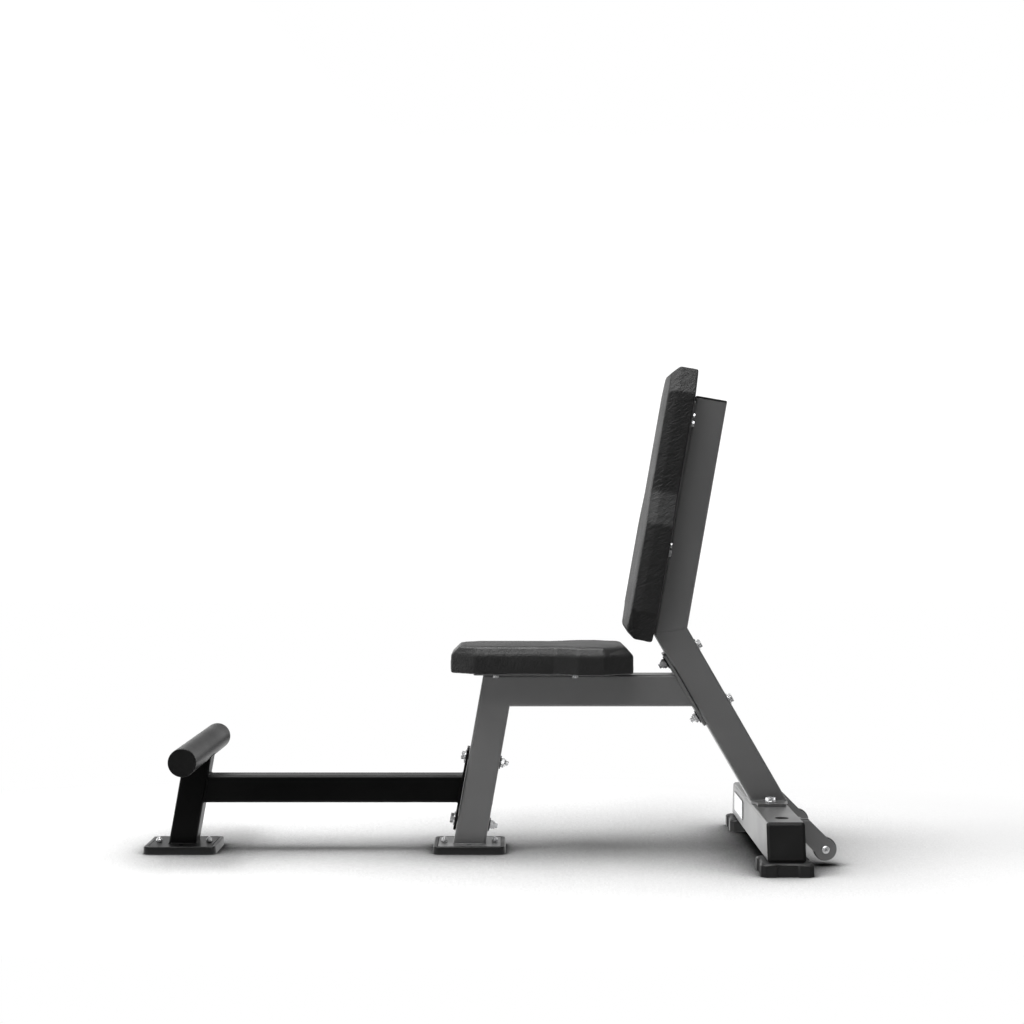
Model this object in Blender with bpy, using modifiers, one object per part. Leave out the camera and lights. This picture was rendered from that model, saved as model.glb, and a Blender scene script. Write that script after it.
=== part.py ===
"""Upright utility bench: a fixed seat and backrest on a bolted frame of square steel tube.

A black front section carries a cross bar for the feet, and two small transport wheels hang behind the
rear stabiliser. X runs from the foot bar to the wheels, Y to the sitter's right and Z up; the origin is
on the floor, in the middle of the bench. Sizes are in millimetres, and MM turns them into metres.
"""
from math import acos, cos, degrees, pi, radians, sin, sqrt, tan

import bmesh
import bpy
from mathutils import Matrix, Vector

MM = 0.001
GAP = 0.3                 # clearance between pieces that lie on each other

# Places of the feet along the bench, and the floor level of each member
FRONT_FOOT_X = -670.0
MID_FOOT_X = -34.0
STABILISER_X = 628.0
AXLE_X, AXLE_Z = 725.0, 35.7
FOOT_TOP = 17.0           # top of the front and middle foot plates
BEAM_TOP = 391.0          # top of the seat beam
FRONT_BEAM_Z = 137.6      # middle of the front beam
FOOT_BAR_Z = 223.8        # middle of the cross bar

# Leans of the members from upright, in degrees
LEAN = 10.0               # front leg, foot strut and back post
RAKE = 30.0               # rear leg, the other way

# Square tube: outer side and wall
MAIN_TUBE = 70.0
FRONT_TUBE = 60.0
REAR_TUBE = 80.0
WALL = 3.0
POST_LENGTH = 518.0

# Round cross bar
BAR_RADIUS = 30.15
BAR_LENGTH = 494.0
BAR_CAP = 4.0

# Flat steel
PLATE = 6.0
FOOT_PLATE = 8.0
JOINT_PLATE_LENGTH = 184.0
JOINT_BOLT_SPACING = 140.0

# Rubber boots under the front and middle feet: length, width, height
BOOT = (160.0, 146.0, 17.0)
BOOT_TOP = (148.0, 136.0)
FOOT_BOLT_SPACING = 112.0

# Rear stabiliser with its rubber feet
STABILISER_LOW = 27.5
STABILISER_MEAN_LENGTH = 621.5
STABILISER_END_SLOPE = tan(radians(15.0))
REAR_FOOT_Y = 283.0
REAR_FOOT_SIDE = 110.0
BASE_BOLT_Y = 61.0
ACCESS_HOLE_Y = 241.0
ACCESS_HOLE_RADIUS = 15.0

# Transport wheels
WHEEL_Y = 195.0
WHEEL_RADIUS = 25.0
WHEEL_WIDTH = 22.0
FORK_WIDTH = 34.0
FORK_PLATE = 5.0

# Pads: outlines as (length along the pad, half width), seat from its front, back from its foot
PAD_HEIGHT = 60.0
PAD_SIDE = 41.0
SEAT_START_X = -74.5
SEAT_SIDE = [(0, 62), (54, 103), (229, 107), (275, 137), (336, 137), (400, 100)]
SEAT_TOP = [(20, 69), (58, 95), (231, 98), (277, 128), (331, 128), (380, 91)]
BACK_START = -29.5        # foot of the back pad, measured up the post from the kink
BACK_SIDE = [(0, 98), (61, 137), (257, 137), (329, 104), (551, 102), (608, 64)]
BACK_TOP = [(20, 90), (65, 128), (255, 128), (327, 95.5), (547, 94), (588, 71)]
BOARD = 15.0              # plywood inside the pads
SEAT_BOLTS = (99.0, 274.0)
BACK_BOLTS = (198.0, 488.0)
PAD_BOLT_Y = 45.0
MOUNT_PLATE_WIDTH = 108.0

# Finishes: linear colour, roughness, metallic
GREY_PAINT = ((0.085, 0.086, 0.087), 0.45, 0.0)
BLACK_PAINT = ((0.008, 0.008, 0.008), 0.35, 0.0)
BLACK_PLASTIC = ((0.018, 0.018, 0.018), 0.5, 0.0)
BLACK_RUBBER = ((0.020, 0.020, 0.021), 0.75, 0.0)
BLACK_VINYL = ((0.020, 0.020, 0.020), 0.6, 0.0)
BRIGHT_ZINC = ((0.62, 0.63, 0.64), 0.28, 1.0)
PLYWOOD = ((0.45, 0.31, 0.17), 0.75, 0.0)
SILVER_PLATE = ((0.60, 0.61, 0.62), 0.35, 1.0)

for old in list(bpy.data.objects):
    bpy.data.objects.remove(old, do_unlink=True)
PARTS = bpy.data.collections.new("upright_utility_bench")
CUTTERS = bpy.data.collections.new("cutters")
IN_PLACE = Matrix.Identity(4)
bpy.context.scene.collection.children.link(PARTS)
bpy.context.scene.collection.children.link(CUTTERS)


def shift(x, y, z):
    """Move in millimetres."""
    return Matrix.Translation((x * MM, y * MM, z * MM))


def turn(angle, axis):
    """Turn in degrees about a local axis."""
    return Matrix.Rotation(radians(angle), 4, axis)


def member_frame(x, z, tilt):
    """Axes of a member in the bench's middle plane: local z runs along it, local x is square to it."""
    return shift(x, 0, z) @ turn(tilt, "Y")


def add_part(name, data, finish, frame):
    """Link one sub-part with a material of its own."""
    colour, roughness, metallic = finish
    material = bpy.data.materials.new(name + "_finish")
    material.use_nodes = True
    shader = material.node_tree.nodes["Principled BSDF"]
    shader.inputs["Base Color"].default_value = (*colour, 1.0)
    shader.inputs["Roughness"].default_value = roughness
    shader.inputs["Metallic"].default_value = metallic
    data.materials.append(material)
    part = bpy.data.objects.new(name, data)
    part.matrix_world = frame
    PARTS.objects.link(part)
    return part


def cut(part, name, mesh, frame):
    """Take a hidden cutter's shape out of a part."""
    cutter = bpy.data.objects.new(name, mesh)
    cutter.matrix_world = frame
    cutter.hide_render = True
    cutter.display_type = "WIRE"
    CUTTERS.objects.link(cutter)
    modifier = part.modifiers.new(name, "BOOLEAN")
    modifier.operation = "DIFFERENCE"
    modifier.solver = "EXACT"
    modifier.object = cutter


def to_mesh(name, bm):
    """Close a bmesh into a mesh with outward faces, smooth where it is round."""
    bmesh.ops.recalc_face_normals(bm, faces=bm.faces)
    mesh = bpy.data.meshes.new(name)
    bm.to_mesh(mesh)
    bm.free()
    mesh.shade_smooth()
    mesh.set_sharp_from_angle(angle=radians(35.0))
    return mesh


def loft(name, rings, hollow=False, frames=(IN_PLACE,)):
    """Skin rings of equal point count; a hollow loft closes on itself, and each frame gets a copy."""
    bm = bmesh.new()
    for frame in frames:
        loops = [[bm.verts.new(frame @ (Vector(point) * MM)) for point in ring] for ring in rings]
        pairs = list(zip(loops, loops[1:]))
        if hollow:
            pairs.append((loops[-1], loops[0]))
        else:
            bm.faces.new(loops[0])
            bm.faces.new(loops[-1])
        count = len(rings[0])
        for lower, upper in pairs:
            for i in range(count):
                j = (i + 1) % count
                bm.faces.new((lower[i], lower[j], upper[j], upper[i]))
    return to_mesh(name, bm)


def circle(radius, height, count=16):
    """Ring of points round the local z axis."""
    return [(radius * cos(2 * pi * i / count), radius * sin(2 * pi * i / count), height)
            for i in range(count)]


def hexagon(across_flats, height, count=12):
    """Hexagonal ring: its corners, and the middles of its sides."""
    flat = across_flats / 2
    corner = flat / cos(pi / 6)
    return [(x * reach, y * reach, height)
            for (x, y, _), reach in zip(circle(1.0, height, count), (corner, flat) * (count // 2))]


def rounded_rectangle(length, width, radius, steps=4):
    """Outline of a rectangle with round corners, as (x, y) points."""
    points = []
    for quarter in range(4):
        start = quarter * pi / 2
        along = (1, -1, -1, 1)[quarter] * (length / 2 - radius)
        across = (1, 1, -1, -1)[quarter] * (width / 2 - radius)
        for i in range(steps + 1):
            angle = start + i * pi / 2 / steps
            points.append((along + radius * cos(angle), across + radius * sin(angle)))
    return points


def at_height(outline, height):
    """Lift a flat outline to a height."""
    return [(x, y, height) for x, y in outline]


def mirrored(half):
    """Whole outline from one side's (x, half width) points."""
    return [(x, -y) for x, y in half] + [(x, y) for x, y in reversed(half)]


def flat_plate(name, finish, outline, thickness, frame, holes=()):
    """Flat piece from a filled 2D curve; its frame is at its middle plane, and holes are (x, y, radius)."""
    curve = bpy.data.curves.new(name, "CURVE")
    curve.dimensions = "2D"
    curve.fill_mode = "BOTH"
    curve.extrude = thickness / 2 * MM
    loops = [outline]
    loops += [[(x + px, y + py) for px, py, _ in circle(radius, 0)] for x, y, radius in holes]
    for loop in loops:
        spline = curve.splines.new("POLY")
        spline.points.add(len(loop) - 1)
        for point, (x, y) in zip(spline.points, loop):
            point.co = (x * MM, y * MM, 0, 1)
        spline.use_cyclic_u = True
    return add_part(name, curve, finish, frame)


def square_bar(name, side, radius, low, high):
    """Upright square bar with rounded edges; each end is cut at (height, slope along x)."""
    bm = bmesh.new()
    bmesh.ops.create_cube(bm, size=1.0)
    bmesh.ops.scale(bm, vec=(side * MM, side * MM, 1.0), verts=bm.verts)
    upright = [edge for edge in bm.edges if abs(edge.verts[0].co.z - edge.verts[1].co.z) > 0.5]
    bmesh.ops.bevel(bm, geom=upright, offset=radius * MM, segments=5, profile=0.5, affect="EDGES")
    for vert in bm.verts:
        height, slope = high if vert.co.z > 0 else low
        vert.co.z = height * MM + vert.co.x * slope
    return to_mesh(name, bm)


def square_tube(name, finish, side, frame, low, high):
    """Square tube with mitred ends."""
    part = add_part(name, square_bar(name, side, 6.0, low, high), finish, frame)
    over = 30.0
    inner = side - 2 * WALL
    bore = square_bar(name + "_bore", inner, 3.0, (low[0] - over, low[1]), (high[0] + over, high[1]))
    cut(part, name + "_bore", bore, frame)
    return part


def drill(part, radius, low, high, frames):
    """Drill one round hole along the local z axis of each frame."""
    name = part.name + "_holes_" + str(len(part.modifiers))
    mesh = loft(name, [circle(radius, low), circle(radius, high)], frames=frames)
    cut(part, name, mesh, IN_PLACE)


# Fasteners: shank radius, across flats and head height, then the radius of the hole for each
M12 = (6.0, 19.0, 8.0)
M8 = (4.0, 13.0, 5.3)
M12_HOLE = 6.7
M8_HOLE = 4.7
NUT_HEIGHT = 1.4          # of the head's height, for a lock nut
WIDE_WASHER = (15.0, 2.5)
SMALL_WASHER = (12.0, 2.5)


def add_bolt(name, size, grip, frame, washer=None, stub=6.0):
    """Tightened hexagon bolt in one solid: head, shank through the grip and nut, with any washers."""
    radius, flats, head = size
    outer, thick = washer or (0, 0)
    low, high = -GAP, grip + GAP
    nut_top = high + thick + head * NUT_HEIGHT
    rings = [hexagon(flats, low - thick - head), hexagon(flats, low - thick)]
    if washer:
        rings += [circle(outer, low - thick, 12), circle(outer, low, 12)]
    rings += [circle(radius, low, 12), circle(radius, high, 12)]
    if washer:
        rings += [circle(outer, high, 12), circle(outer, high + thick, 12)]
    rings += [hexagon(flats, high + thick), hexagon(flats, nut_top), circle(radius, nut_top, 12),
              circle(radius, nut_top + stub, 12)]
    return add_part(name, loft(name, rings), BRIGHT_ZINC, frame)


# Frames of the members
tan_lean, tan_rake = tan(radians(LEAN)), tan(radians(RAKE))
BASE_TOP = STABILISER_LOW + REAR_TUBE + PLATE + GAP
KINK_Z = 488.3
KINK_X = STABILISER_X - (KINK_Z - BASE_TOP) * tan_rake
STRUT = member_frame(FRONT_FOOT_X, FOOT_TOP, LEAN)
FRONT_LEG = member_frame(MID_FOOT_X, FOOT_TOP, LEAN)
REAR_LEG = member_frame(KINK_X, KINK_Z, -RAKE)
BACK_POST = member_frame(KINK_X, KINK_Z, LEAN)
FRONT_BEAM = member_frame(0, FRONT_BEAM_Z, 90)
SEAT_BEAM_Z = BEAM_TOP - MAIN_TUBE / 2
SEAT_BEAM = member_frame(0, SEAT_BEAM_Z, 90)
HALF = MAIN_TUBE / 2


def add_joint_plate(name, finish, member, along):
    """Bolted joint plate on a member's front face: narrow ends that widen to the tube between them."""
    end, middle, half = 28.0, 39.0, JOINT_PLATE_LENGTH / 2
    side = [(-half, end - 6), (-half + 6, end), (-half + 20, end), (-half + 46, middle),
            (half - 46, middle), (half - 20, end), (half - 6, end), (half, end - 6)]
    holes = [(step, 0, M12_HOLE) for step in (-JOINT_BOLT_SPACING / 2, JOINT_BOLT_SPACING / 2)]
    middle_plane = HALF + GAP + PLATE / 2
    frame = member @ shift(-middle_plane, 0, along) @ turn(-90, "Y")
    return flat_plate(name, finish, mirrored(side), PLATE, frame, holes)


def add_joint_bolts(prefix, tube, frames):
    """M12 bolts through a joint plate and its tube, with a wide washer at each end."""
    drill(tube, M12_HOLE, -5, 2 * MAIN_TUBE, frames)
    for place, frame in zip(("lower", "upper"), frames):
        add_bolt(prefix + "_bolt_" + place, M12, PLATE + MAIN_TUBE + GAP, frame, WIDE_WASHER)


# Front section: boot, foot plate, leaning strut, cross bar and the beam back to the bench
def add_foot(prefix, x, finish):
    """Steel foot plate sunk in a rubber boot, held by two screws from below with lock nuts on top."""
    boot = shift(x, 0, 0)
    rings = [at_height(rounded_rectangle(BOOT[0], BOOT[1], 15), 0),
             at_height(rounded_rectangle(BOOT[0], BOOT[1], 15), 3),
             at_height(rounded_rectangle(BOOT_TOP[0] + 3, BOOT_TOP[1] + 3, 13), BOOT[2] - 2),
             at_height(rounded_rectangle(BOOT_TOP[0], BOOT_TOP[1], 12), BOOT[2])]
    rubber = add_part(prefix + "_boot", loft(prefix + "_boot", rings), BLACK_RUBBER, boot)
    rim, groove, plate_low = 7.0, 0.8, FOOT_TOP - FOOT_PLATE
    length, width = BOOT_TOP[0] - 2 * rim, BOOT_TOP[1] - 2 * rim
    outline = rounded_rectangle(length, width, 8)
    pocket = loft(prefix + "_pocket", [at_height(outline, plate_low - GAP), at_height(outline, BOOT[2] + 5)])
    cut(rubber, prefix + "_pocket", pocket, boot)
    steps = (-FOOT_BOLT_SPACING / 2, FOOT_BOLT_SPACING / 2)
    fixings = [shift(x + step, 0, 0) for step in steps]
    recess, head_top = 9.5, 6.8
    stepped = [circle(recess, -3), circle(recess, head_top), circle(M8_HOLE, head_top),
               circle(M8_HOLE, plate_low + 3)]
    cut(rubber, prefix + "_screw_holes", loft(prefix + "_screw_holes", stepped, frames=fixings), IN_PLACE)
    spare_hole, spare_y = 5.5, 44.0
    plate_holes = [(step, 0, M8_HOLE) for step in steps] + [(0, y, spare_hole) for y in (-spare_y, spare_y)]
    flat_plate(prefix + "_plate", finish, rounded_rectangle(length - 2 * groove, width - 2 * groove, 7.2),
               FOOT_PLATE, shift(x, 0, plate_low + FOOT_PLATE / 2), plate_holes)
    for place, frame in zip(("front", "rear"), fixings):
        add_bolt(prefix + "_screw_" + place, M8, FOOT_TOP - head_top, frame @ shift(0, 0, head_top), stub=3.0)


add_foot("front_foot", FRONT_FOOT_X, BLACK_PAINT)
bar_along = (FOOT_BAR_Z - FOOT_TOP) / cos(radians(LEAN))
BAR_X = FRONT_FOOT_X + (FOOT_BAR_Z - FOOT_TOP) * tan_lean
BAR = shift(BAR_X, 0, FOOT_BAR_Z) @ turn(-90, "X")
strut = square_tube("foot_strut", BLACK_PAINT, FRONT_TUBE, STRUT, (GAP, tan_lean), (bar_along - 9, 0))
bar_sides = 40
cope = [circle(BAR_RADIUS + GAP, -60, bar_sides), circle(BAR_RADIUS + GAP, 60, bar_sides)]
cut(strut, "bar_cope", loft("bar_cope", cope), BAR)

bar_half = BAR_LENGTH / 2 - BAR_CAP
bar_bore = BAR_RADIUS - WALL
bar_rings = [circle(BAR_RADIUS, -bar_half, bar_sides), circle(BAR_RADIUS, bar_half, bar_sides),
             circle(bar_bore, bar_half, bar_sides), circle(bar_bore, -bar_half, bar_sides)]
add_part("foot_bar", loft("foot_bar", bar_rings, hollow=True), BLACK_PAINT, BAR)
for side, direction in (("left", 1), ("right", -1)):
    cap_end = bar_half + BAR_CAP
    plug = bar_bore - GAP
    cap = [circle(radius, height, bar_sides) for radius, height in (
        (plug - 1, bar_half - 15), (plug, bar_half + GAP), (BAR_RADIUS, bar_half + GAP),
        (BAR_RADIUS, cap_end - 1.2), (BAR_RADIUS - 1.2, cap_end))]
    add_part("foot_bar_cap_" + side, loft("foot_bar_cap_" + side, cap), BLACK_PLASTIC,
             BAR @ turn(90 + 90 * direction, "X"))

strut_face_x = FRONT_FOOT_X + (FRONT_BEAM_Z - FOOT_TOP) * tan_lean + FRONT_TUBE / 2 / cos(radians(LEAN))
leg_face_x = MID_FOOT_X + (FRONT_BEAM_Z - FOOT_TOP) * tan_lean - (HALF + GAP + PLATE) / cos(radians(LEAN))
square_tube("foot_beam", BLACK_PAINT, FRONT_TUBE, FRONT_BEAM, (strut_face_x + GAP, -tan_lean),
            (leg_face_x - GAP, -tan_lean))
front_joint = (FRONT_BEAM_Z - FOOT_TOP - (HALF + PLATE) * sin(radians(LEAN))) / cos(radians(LEAN))
add_joint_plate("front_joint_plate", BLACK_PAINT, FRONT_LEG, front_joint)

# Middle foot, front leg and seat beam
add_foot("middle_foot", MID_FOOT_X, GREY_PAINT)
leg_top = (SEAT_BEAM_Z - FOOT_TOP) / cos(radians(LEAN))
mitre = tan(radians((90 - LEAN) / 2))
front_leg = square_tube("front_leg", GREY_PAINT, MAIN_TUBE, FRONT_LEG, (GAP, tan_lean),
                        (leg_top - GAP, -mitre))
front_bolts = [FRONT_LEG @ shift(-HALF - PLATE - GAP, 0, front_joint + step) @ turn(90, "Y")
               for step in (-JOINT_BOLT_SPACING / 2, JOINT_BOLT_SPACING / 2)]
add_joint_bolts("front_joint", front_leg, front_bolts)

beam_start = MID_FOOT_X + (SEAT_BEAM_Z - FOOT_TOP) * tan_lean
plate_face = HALF + PLATE + GAP
rear_leg_down = (KINK_Z - SEAT_BEAM_Z - plate_face * sin(radians(RAKE))) / cos(radians(RAKE))
beam_end = KINK_X + rear_leg_down * sin(radians(RAKE)) - plate_face * cos(radians(RAKE))
square_tube("seat_beam", GREY_PAINT, MAIN_TUBE, SEAT_BEAM, (beam_start + GAP, mitre),
            (beam_end - 2 * GAP, tan_rake))

# Rear leg, back post and their joint
leg_length = (KINK_Z - BASE_TOP) / cos(radians(RAKE))
kink = tan(radians((LEAN + RAKE) / 2))
rear_leg = square_tube("rear_leg", GREY_PAINT, MAIN_TUBE, REAR_LEG, (GAP - leg_length, -tan_rake),
                       (-GAP, -kink))
square_tube("back_post", GREY_PAINT, MAIN_TUBE, BACK_POST, (GAP, kink), (POST_LENGTH, 0))
add_joint_plate("rear_joint_plate", GREY_PAINT, REAR_LEG, -rear_leg_down)
rear_bolts = [REAR_LEG @ shift(HALF, 0, step - rear_leg_down) @ turn(-90, "Y")
              for step in (-JOINT_BOLT_SPACING / 2, JOINT_BOLT_SPACING / 2)]
add_joint_bolts("rear_joint", rear_leg, rear_bolts)

cap_plug = MAIN_TUBE - 2 * WALL - 2 * GAP


def square_ring(side, radius, height, slope=0.0):
    """Rounded square ring, tipped along x."""
    return [(x, y, height + x * slope) for x, y in rounded_rectangle(side, side, radius, steps=3)]


post_cap = [square_ring(cap_plug - 2, 3, -15), square_ring(cap_plug, 3, GAP),
            square_ring(MAIN_TUBE, 6, GAP), square_ring(MAIN_TUBE, 6, 3), square_ring(MAIN_TUBE - 3, 5, 4.5)]
add_part("back_post_cap", loft("back_post_cap", post_cap), BLACK_PLASTIC,
         BACK_POST @ shift(0, 0, POST_LENGTH))


# Pads: a plywood board with tee nuts, wrapped by the upholstered cushion, bolted to a welded plate
def add_pad(prefix, frame, side, top, bolts):
    """Upholstered pad with flat facets and soft edges; its frame starts at the middle of its low end."""
    length = side[-1][0]
    crown_along, crown_across, crown_rise = 25.0, 40.0, 1.0
    crown = [(x + (crown_along if x < length / 2 else -crown_along), y - crown_across) for x, y in top]
    rings = [at_height(mirrored(side), 0), at_height(mirrored(side), PAD_SIDE),
             at_height(mirrored(top), PAD_HEIGHT), at_height(mirrored(crown), PAD_HEIGHT + crown_rise)]
    pad = add_part(prefix + "_pad", loft(prefix + "_pad", rings), BLACK_VINYL, frame)
    soften = pad.modifiers.new("soft_edges", "BEVEL")
    soften.width = 4.0 * MM
    soften.segments = 2
    soften.limit_method = "ANGLE"
    soften.angle_limit = radians(14.0)

    def inset(by):
        """The pad's outline, drawn in by a margin."""
        ends = {0: by, length: -by}
        return mirrored([(x + ends.get(x, 0), y - by) for x, y in side])

    cover = 6.0
    pocket = [at_height(inset(cover - 2 * GAP), -5), at_height(inset(cover - 2 * GAP), BOARD + GAP)]
    cut(pad, prefix + "_pocket", loft(prefix + "_pocket", pocket), frame)
    plywood = loft(prefix + "_board", [at_height(inset(cover), 0), at_height(inset(cover), BOARD)])
    board = add_part(prefix + "_board", plywood, PLYWOOD, frame)

    fixings = [frame @ shift(along, across, 0) for along in bolts for across in (-PAD_BOLT_Y, PAD_BOLT_Y)]
    barrel, flange, barrel_low, flange_low, play = 5.8, 11.0, 4.0, BOARD - 2.2, 0.5
    nut_seat = [circle(barrel + play, -3), circle(barrel + play, flange_low - play),
                circle(flange + play, flange_low - play), circle(flange + play, BOARD + 3)]
    cut(board, prefix + "_nut_seats", loft(prefix + "_nut_seats", nut_seat, frames=fixings), IN_PLACE)
    radius, flats, head = M8
    under = -PLATE - 2 * GAP
    bolt = [hexagon(flats, under - head), hexagon(flats, under)]
    bolt += [circle(reach, height, 12) for reach, height in (
        (radius, under), (radius, barrel_low), (barrel, barrel_low), (barrel, flange_low),
        (flange, flange_low), (flange, BOARD - 0.7))]
    for number, fixing in enumerate(fixings, 1):
        bolt_name = prefix + "_bolt_" + str(number)
        add_part(bolt_name, loft(bolt_name, bolt), BRIGHT_ZINC, fixing)


def add_mount_plate(name, frame, start, end, bolts):
    """Steel plate under a pad, welded across its tube, with a hole for each of the pad's bolts."""
    middle = (start + end) / 2
    holes = [(along - middle, across, M8_HOLE) for along in bolts for across in (-PAD_BOLT_Y, PAD_BOLT_Y)]
    flat_plate(name, GREY_PAINT, rounded_rectangle(end - start, MOUNT_PLATE_WIDTH, 8), PLATE,
               frame @ shift(middle, 0, -GAP - PLATE / 2), holes)


SEAT = shift(SEAT_START_X, 0, BEAM_TOP + PLATE + 2 * GAP)
add_mount_plate("seat_mount_plate", SEAT, 50, 352, SEAT_BOLTS)
add_pad("seat", SEAT, SEAT_SIDE, SEAT_TOP, SEAT_BOLTS)

BACK = BACK_POST @ shift(-HALF - PLATE - 2 * GAP, 0, BACK_START) @ turn(-90, "Y")
add_mount_plate("back_mount_plate", BACK, 147, 539, BACK_BOLTS)
add_pad("back", BACK, BACK_SIDE, BACK_TOP, BACK_BOLTS)

# Rear stabiliser, its base plate, end caps and rubber feet
TUBE_MID_Z = STABILISER_LOW + REAR_TUBE / 2
STABILISER = shift(STABILISER_X, 0, TUBE_MID_Z) @ turn(90, "Z") @ turn(90, "Y")
end_cap = 4.0
tube_half = STABILISER_MEAN_LENGTH / 2 - end_cap
stabiliser = square_tube("stabiliser", GREY_PAINT, REAR_TUBE, STABILISER, (-tube_half, -STABILISER_END_SLOPE),
                         (tube_half, STABILISER_END_SLOPE))
base_bolts = [shift(STABILISER_X, across, BASE_TOP) @ turn(180, "X")
              for across in (-BASE_BOLT_Y, BASE_BOLT_Y)]
drill(stabiliser, M12_HOLE, 0, 2 * REAR_TUBE, base_bolts)
access = [shift(STABILISER_X, across, TUBE_MID_Z) for across in (-ACCESS_HOLE_Y, ACCESS_HOLE_Y)]
drill(stabiliser, ACCESS_HOLE_RADIUS, 10, REAR_TUBE, access)
foot_screws = [shift(STABILISER_X, across, STABILISER_LOW + WALL + GAP) @ turn(180, "X")
               for across in (-ACCESS_HOLE_Y, ACCESS_HOLE_Y)]
drill(stabiliser, M8_HOLE, -10, 10, foot_screws)

base_side = [(-87, 30.5), (-62, 30.5), (-46, 40), (46, 40), (62, 30.5), (87, 30.5)]
flat_plate("rear_base_plate", GREY_PAINT, mirrored(base_side), PLATE,
           shift(STABILISER_X, 0, BASE_TOP - PLATE / 2) @ turn(90, "Z"),
           [(across, 0, M12_HOLE) for across in (-BASE_BOLT_Y, BASE_BOLT_Y)])
for side, frame in zip(("left", "right"), base_bolts):
    add_bolt("base_bolt_" + side, M12, PLATE + REAR_TUBE + GAP, frame, SMALL_WASHER, stub=2.0)

for side, direction in (("left", -1), ("right", 1)):
    slope = STABILISER_END_SLOPE
    plug = REAR_TUBE - 2 * WALL - 2 * GAP
    cap = [square_ring(plug - 2, 3, -15, slope), square_ring(plug, 3, GAP, slope),
           square_ring(REAR_TUBE, 6, GAP, slope), square_ring(REAR_TUBE, 6, end_cap - 2.5, slope),
           square_ring(REAR_TUBE - 5, 4, end_cap, slope)]
    half_turn = IN_PLACE if direction > 0 else turn(180, "X")
    add_part("stabiliser_cap_" + side, loft("stabiliser_cap_" + side, cap), BLACK_PLASTIC,
             STABILISER @ half_turn @ shift(0, 0, tube_half))


def rear_foot_outline(side, corner, notch):
    """Square with cut corners and a shallow notch in the middle of each side."""
    half, half_notch = side / 2, 24.0
    quarter = [(half, -half + corner), (half, -half_notch), (half - notch, -half_notch + notch),
               (half - notch, half_notch - notch), (half, half_notch), (half, half - corner)]
    points = []
    for _ in range(4):
        points += quarter
        quarter = [(-y, x) for x, y in quarter]
    return points


for side, direction in (("left", -1), ("right", 1)):
    name = "rear_foot_" + side
    height = STABILISER_LOW - GAP
    rings = [at_height(rear_foot_outline(REAR_FOOT_SIDE, 9, 4), 0),
             at_height(rear_foot_outline(REAR_FOOT_SIDE, 9, 4), height - 3.5),
             at_height(rear_foot_outline(REAR_FOOT_SIDE - 7, 8, 4), height)]
    foot = add_part(name, loft(name, rings), BLACK_RUBBER, shift(STABILISER_X, direction * REAR_FOOT_Y, 0))
    screw_frame = foot_screws[0 if direction < 0 else 1]
    drill(foot, M8_HOLE, 0, 22, [screw_frame])
    radius, flats, head = M8
    screw = [hexagon(flats, -head), hexagon(flats, 0), circle(radius, 0, 12), circle(radius, 20, 12)]
    add_part("rear_foot_screw_" + side, loft("rear_foot_screw_" + side, screw), BRIGHT_ZINC, screw_frame)

badge_length, badge_height, badge = 158.0, 44.4, 1.5
flat_plate("badge_plate", SILVER_PLATE, rounded_rectangle(badge_length, badge_height, 5), badge,
           shift(STABILISER_X - REAR_TUBE / 2 - GAP - badge / 2, 185, 68.8) @ turn(90, "Z") @ turn(90, "X"))


# Wheel forks: pairs of plates behind the stabiliser, each pair holding a wheel on a bushed axle bolt
def fork_outline():
    """Plate that drops at 45 degrees from the stabiliser to a round eye, about the axle."""
    eye, half_arm, gap_x = 23.0, 20.0, STABILISER_X + REAR_TUBE / 2 + GAP
    open_angle = degrees(acos(sqrt(eye ** 2 - half_arm ** 2) / eye))
    start, end = 135 - open_angle, 135 + open_angle - 360
    steps = 16
    diagonal = half_arm * sqrt(2)
    top = 96.5
    corner_x = AXLE_X + AXLE_Z + diagonal - top
    points = [(gap_x, AXLE_X + AXLE_Z - diagonal - gap_x), (gap_x, top), (corner_x, top)]
    for i in range(steps + 1):
        angle = radians(start + (end - start) * i / steps)
        points.append((AXLE_X + eye * cos(angle), AXLE_Z + eye * sin(angle)))
    return points


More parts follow.
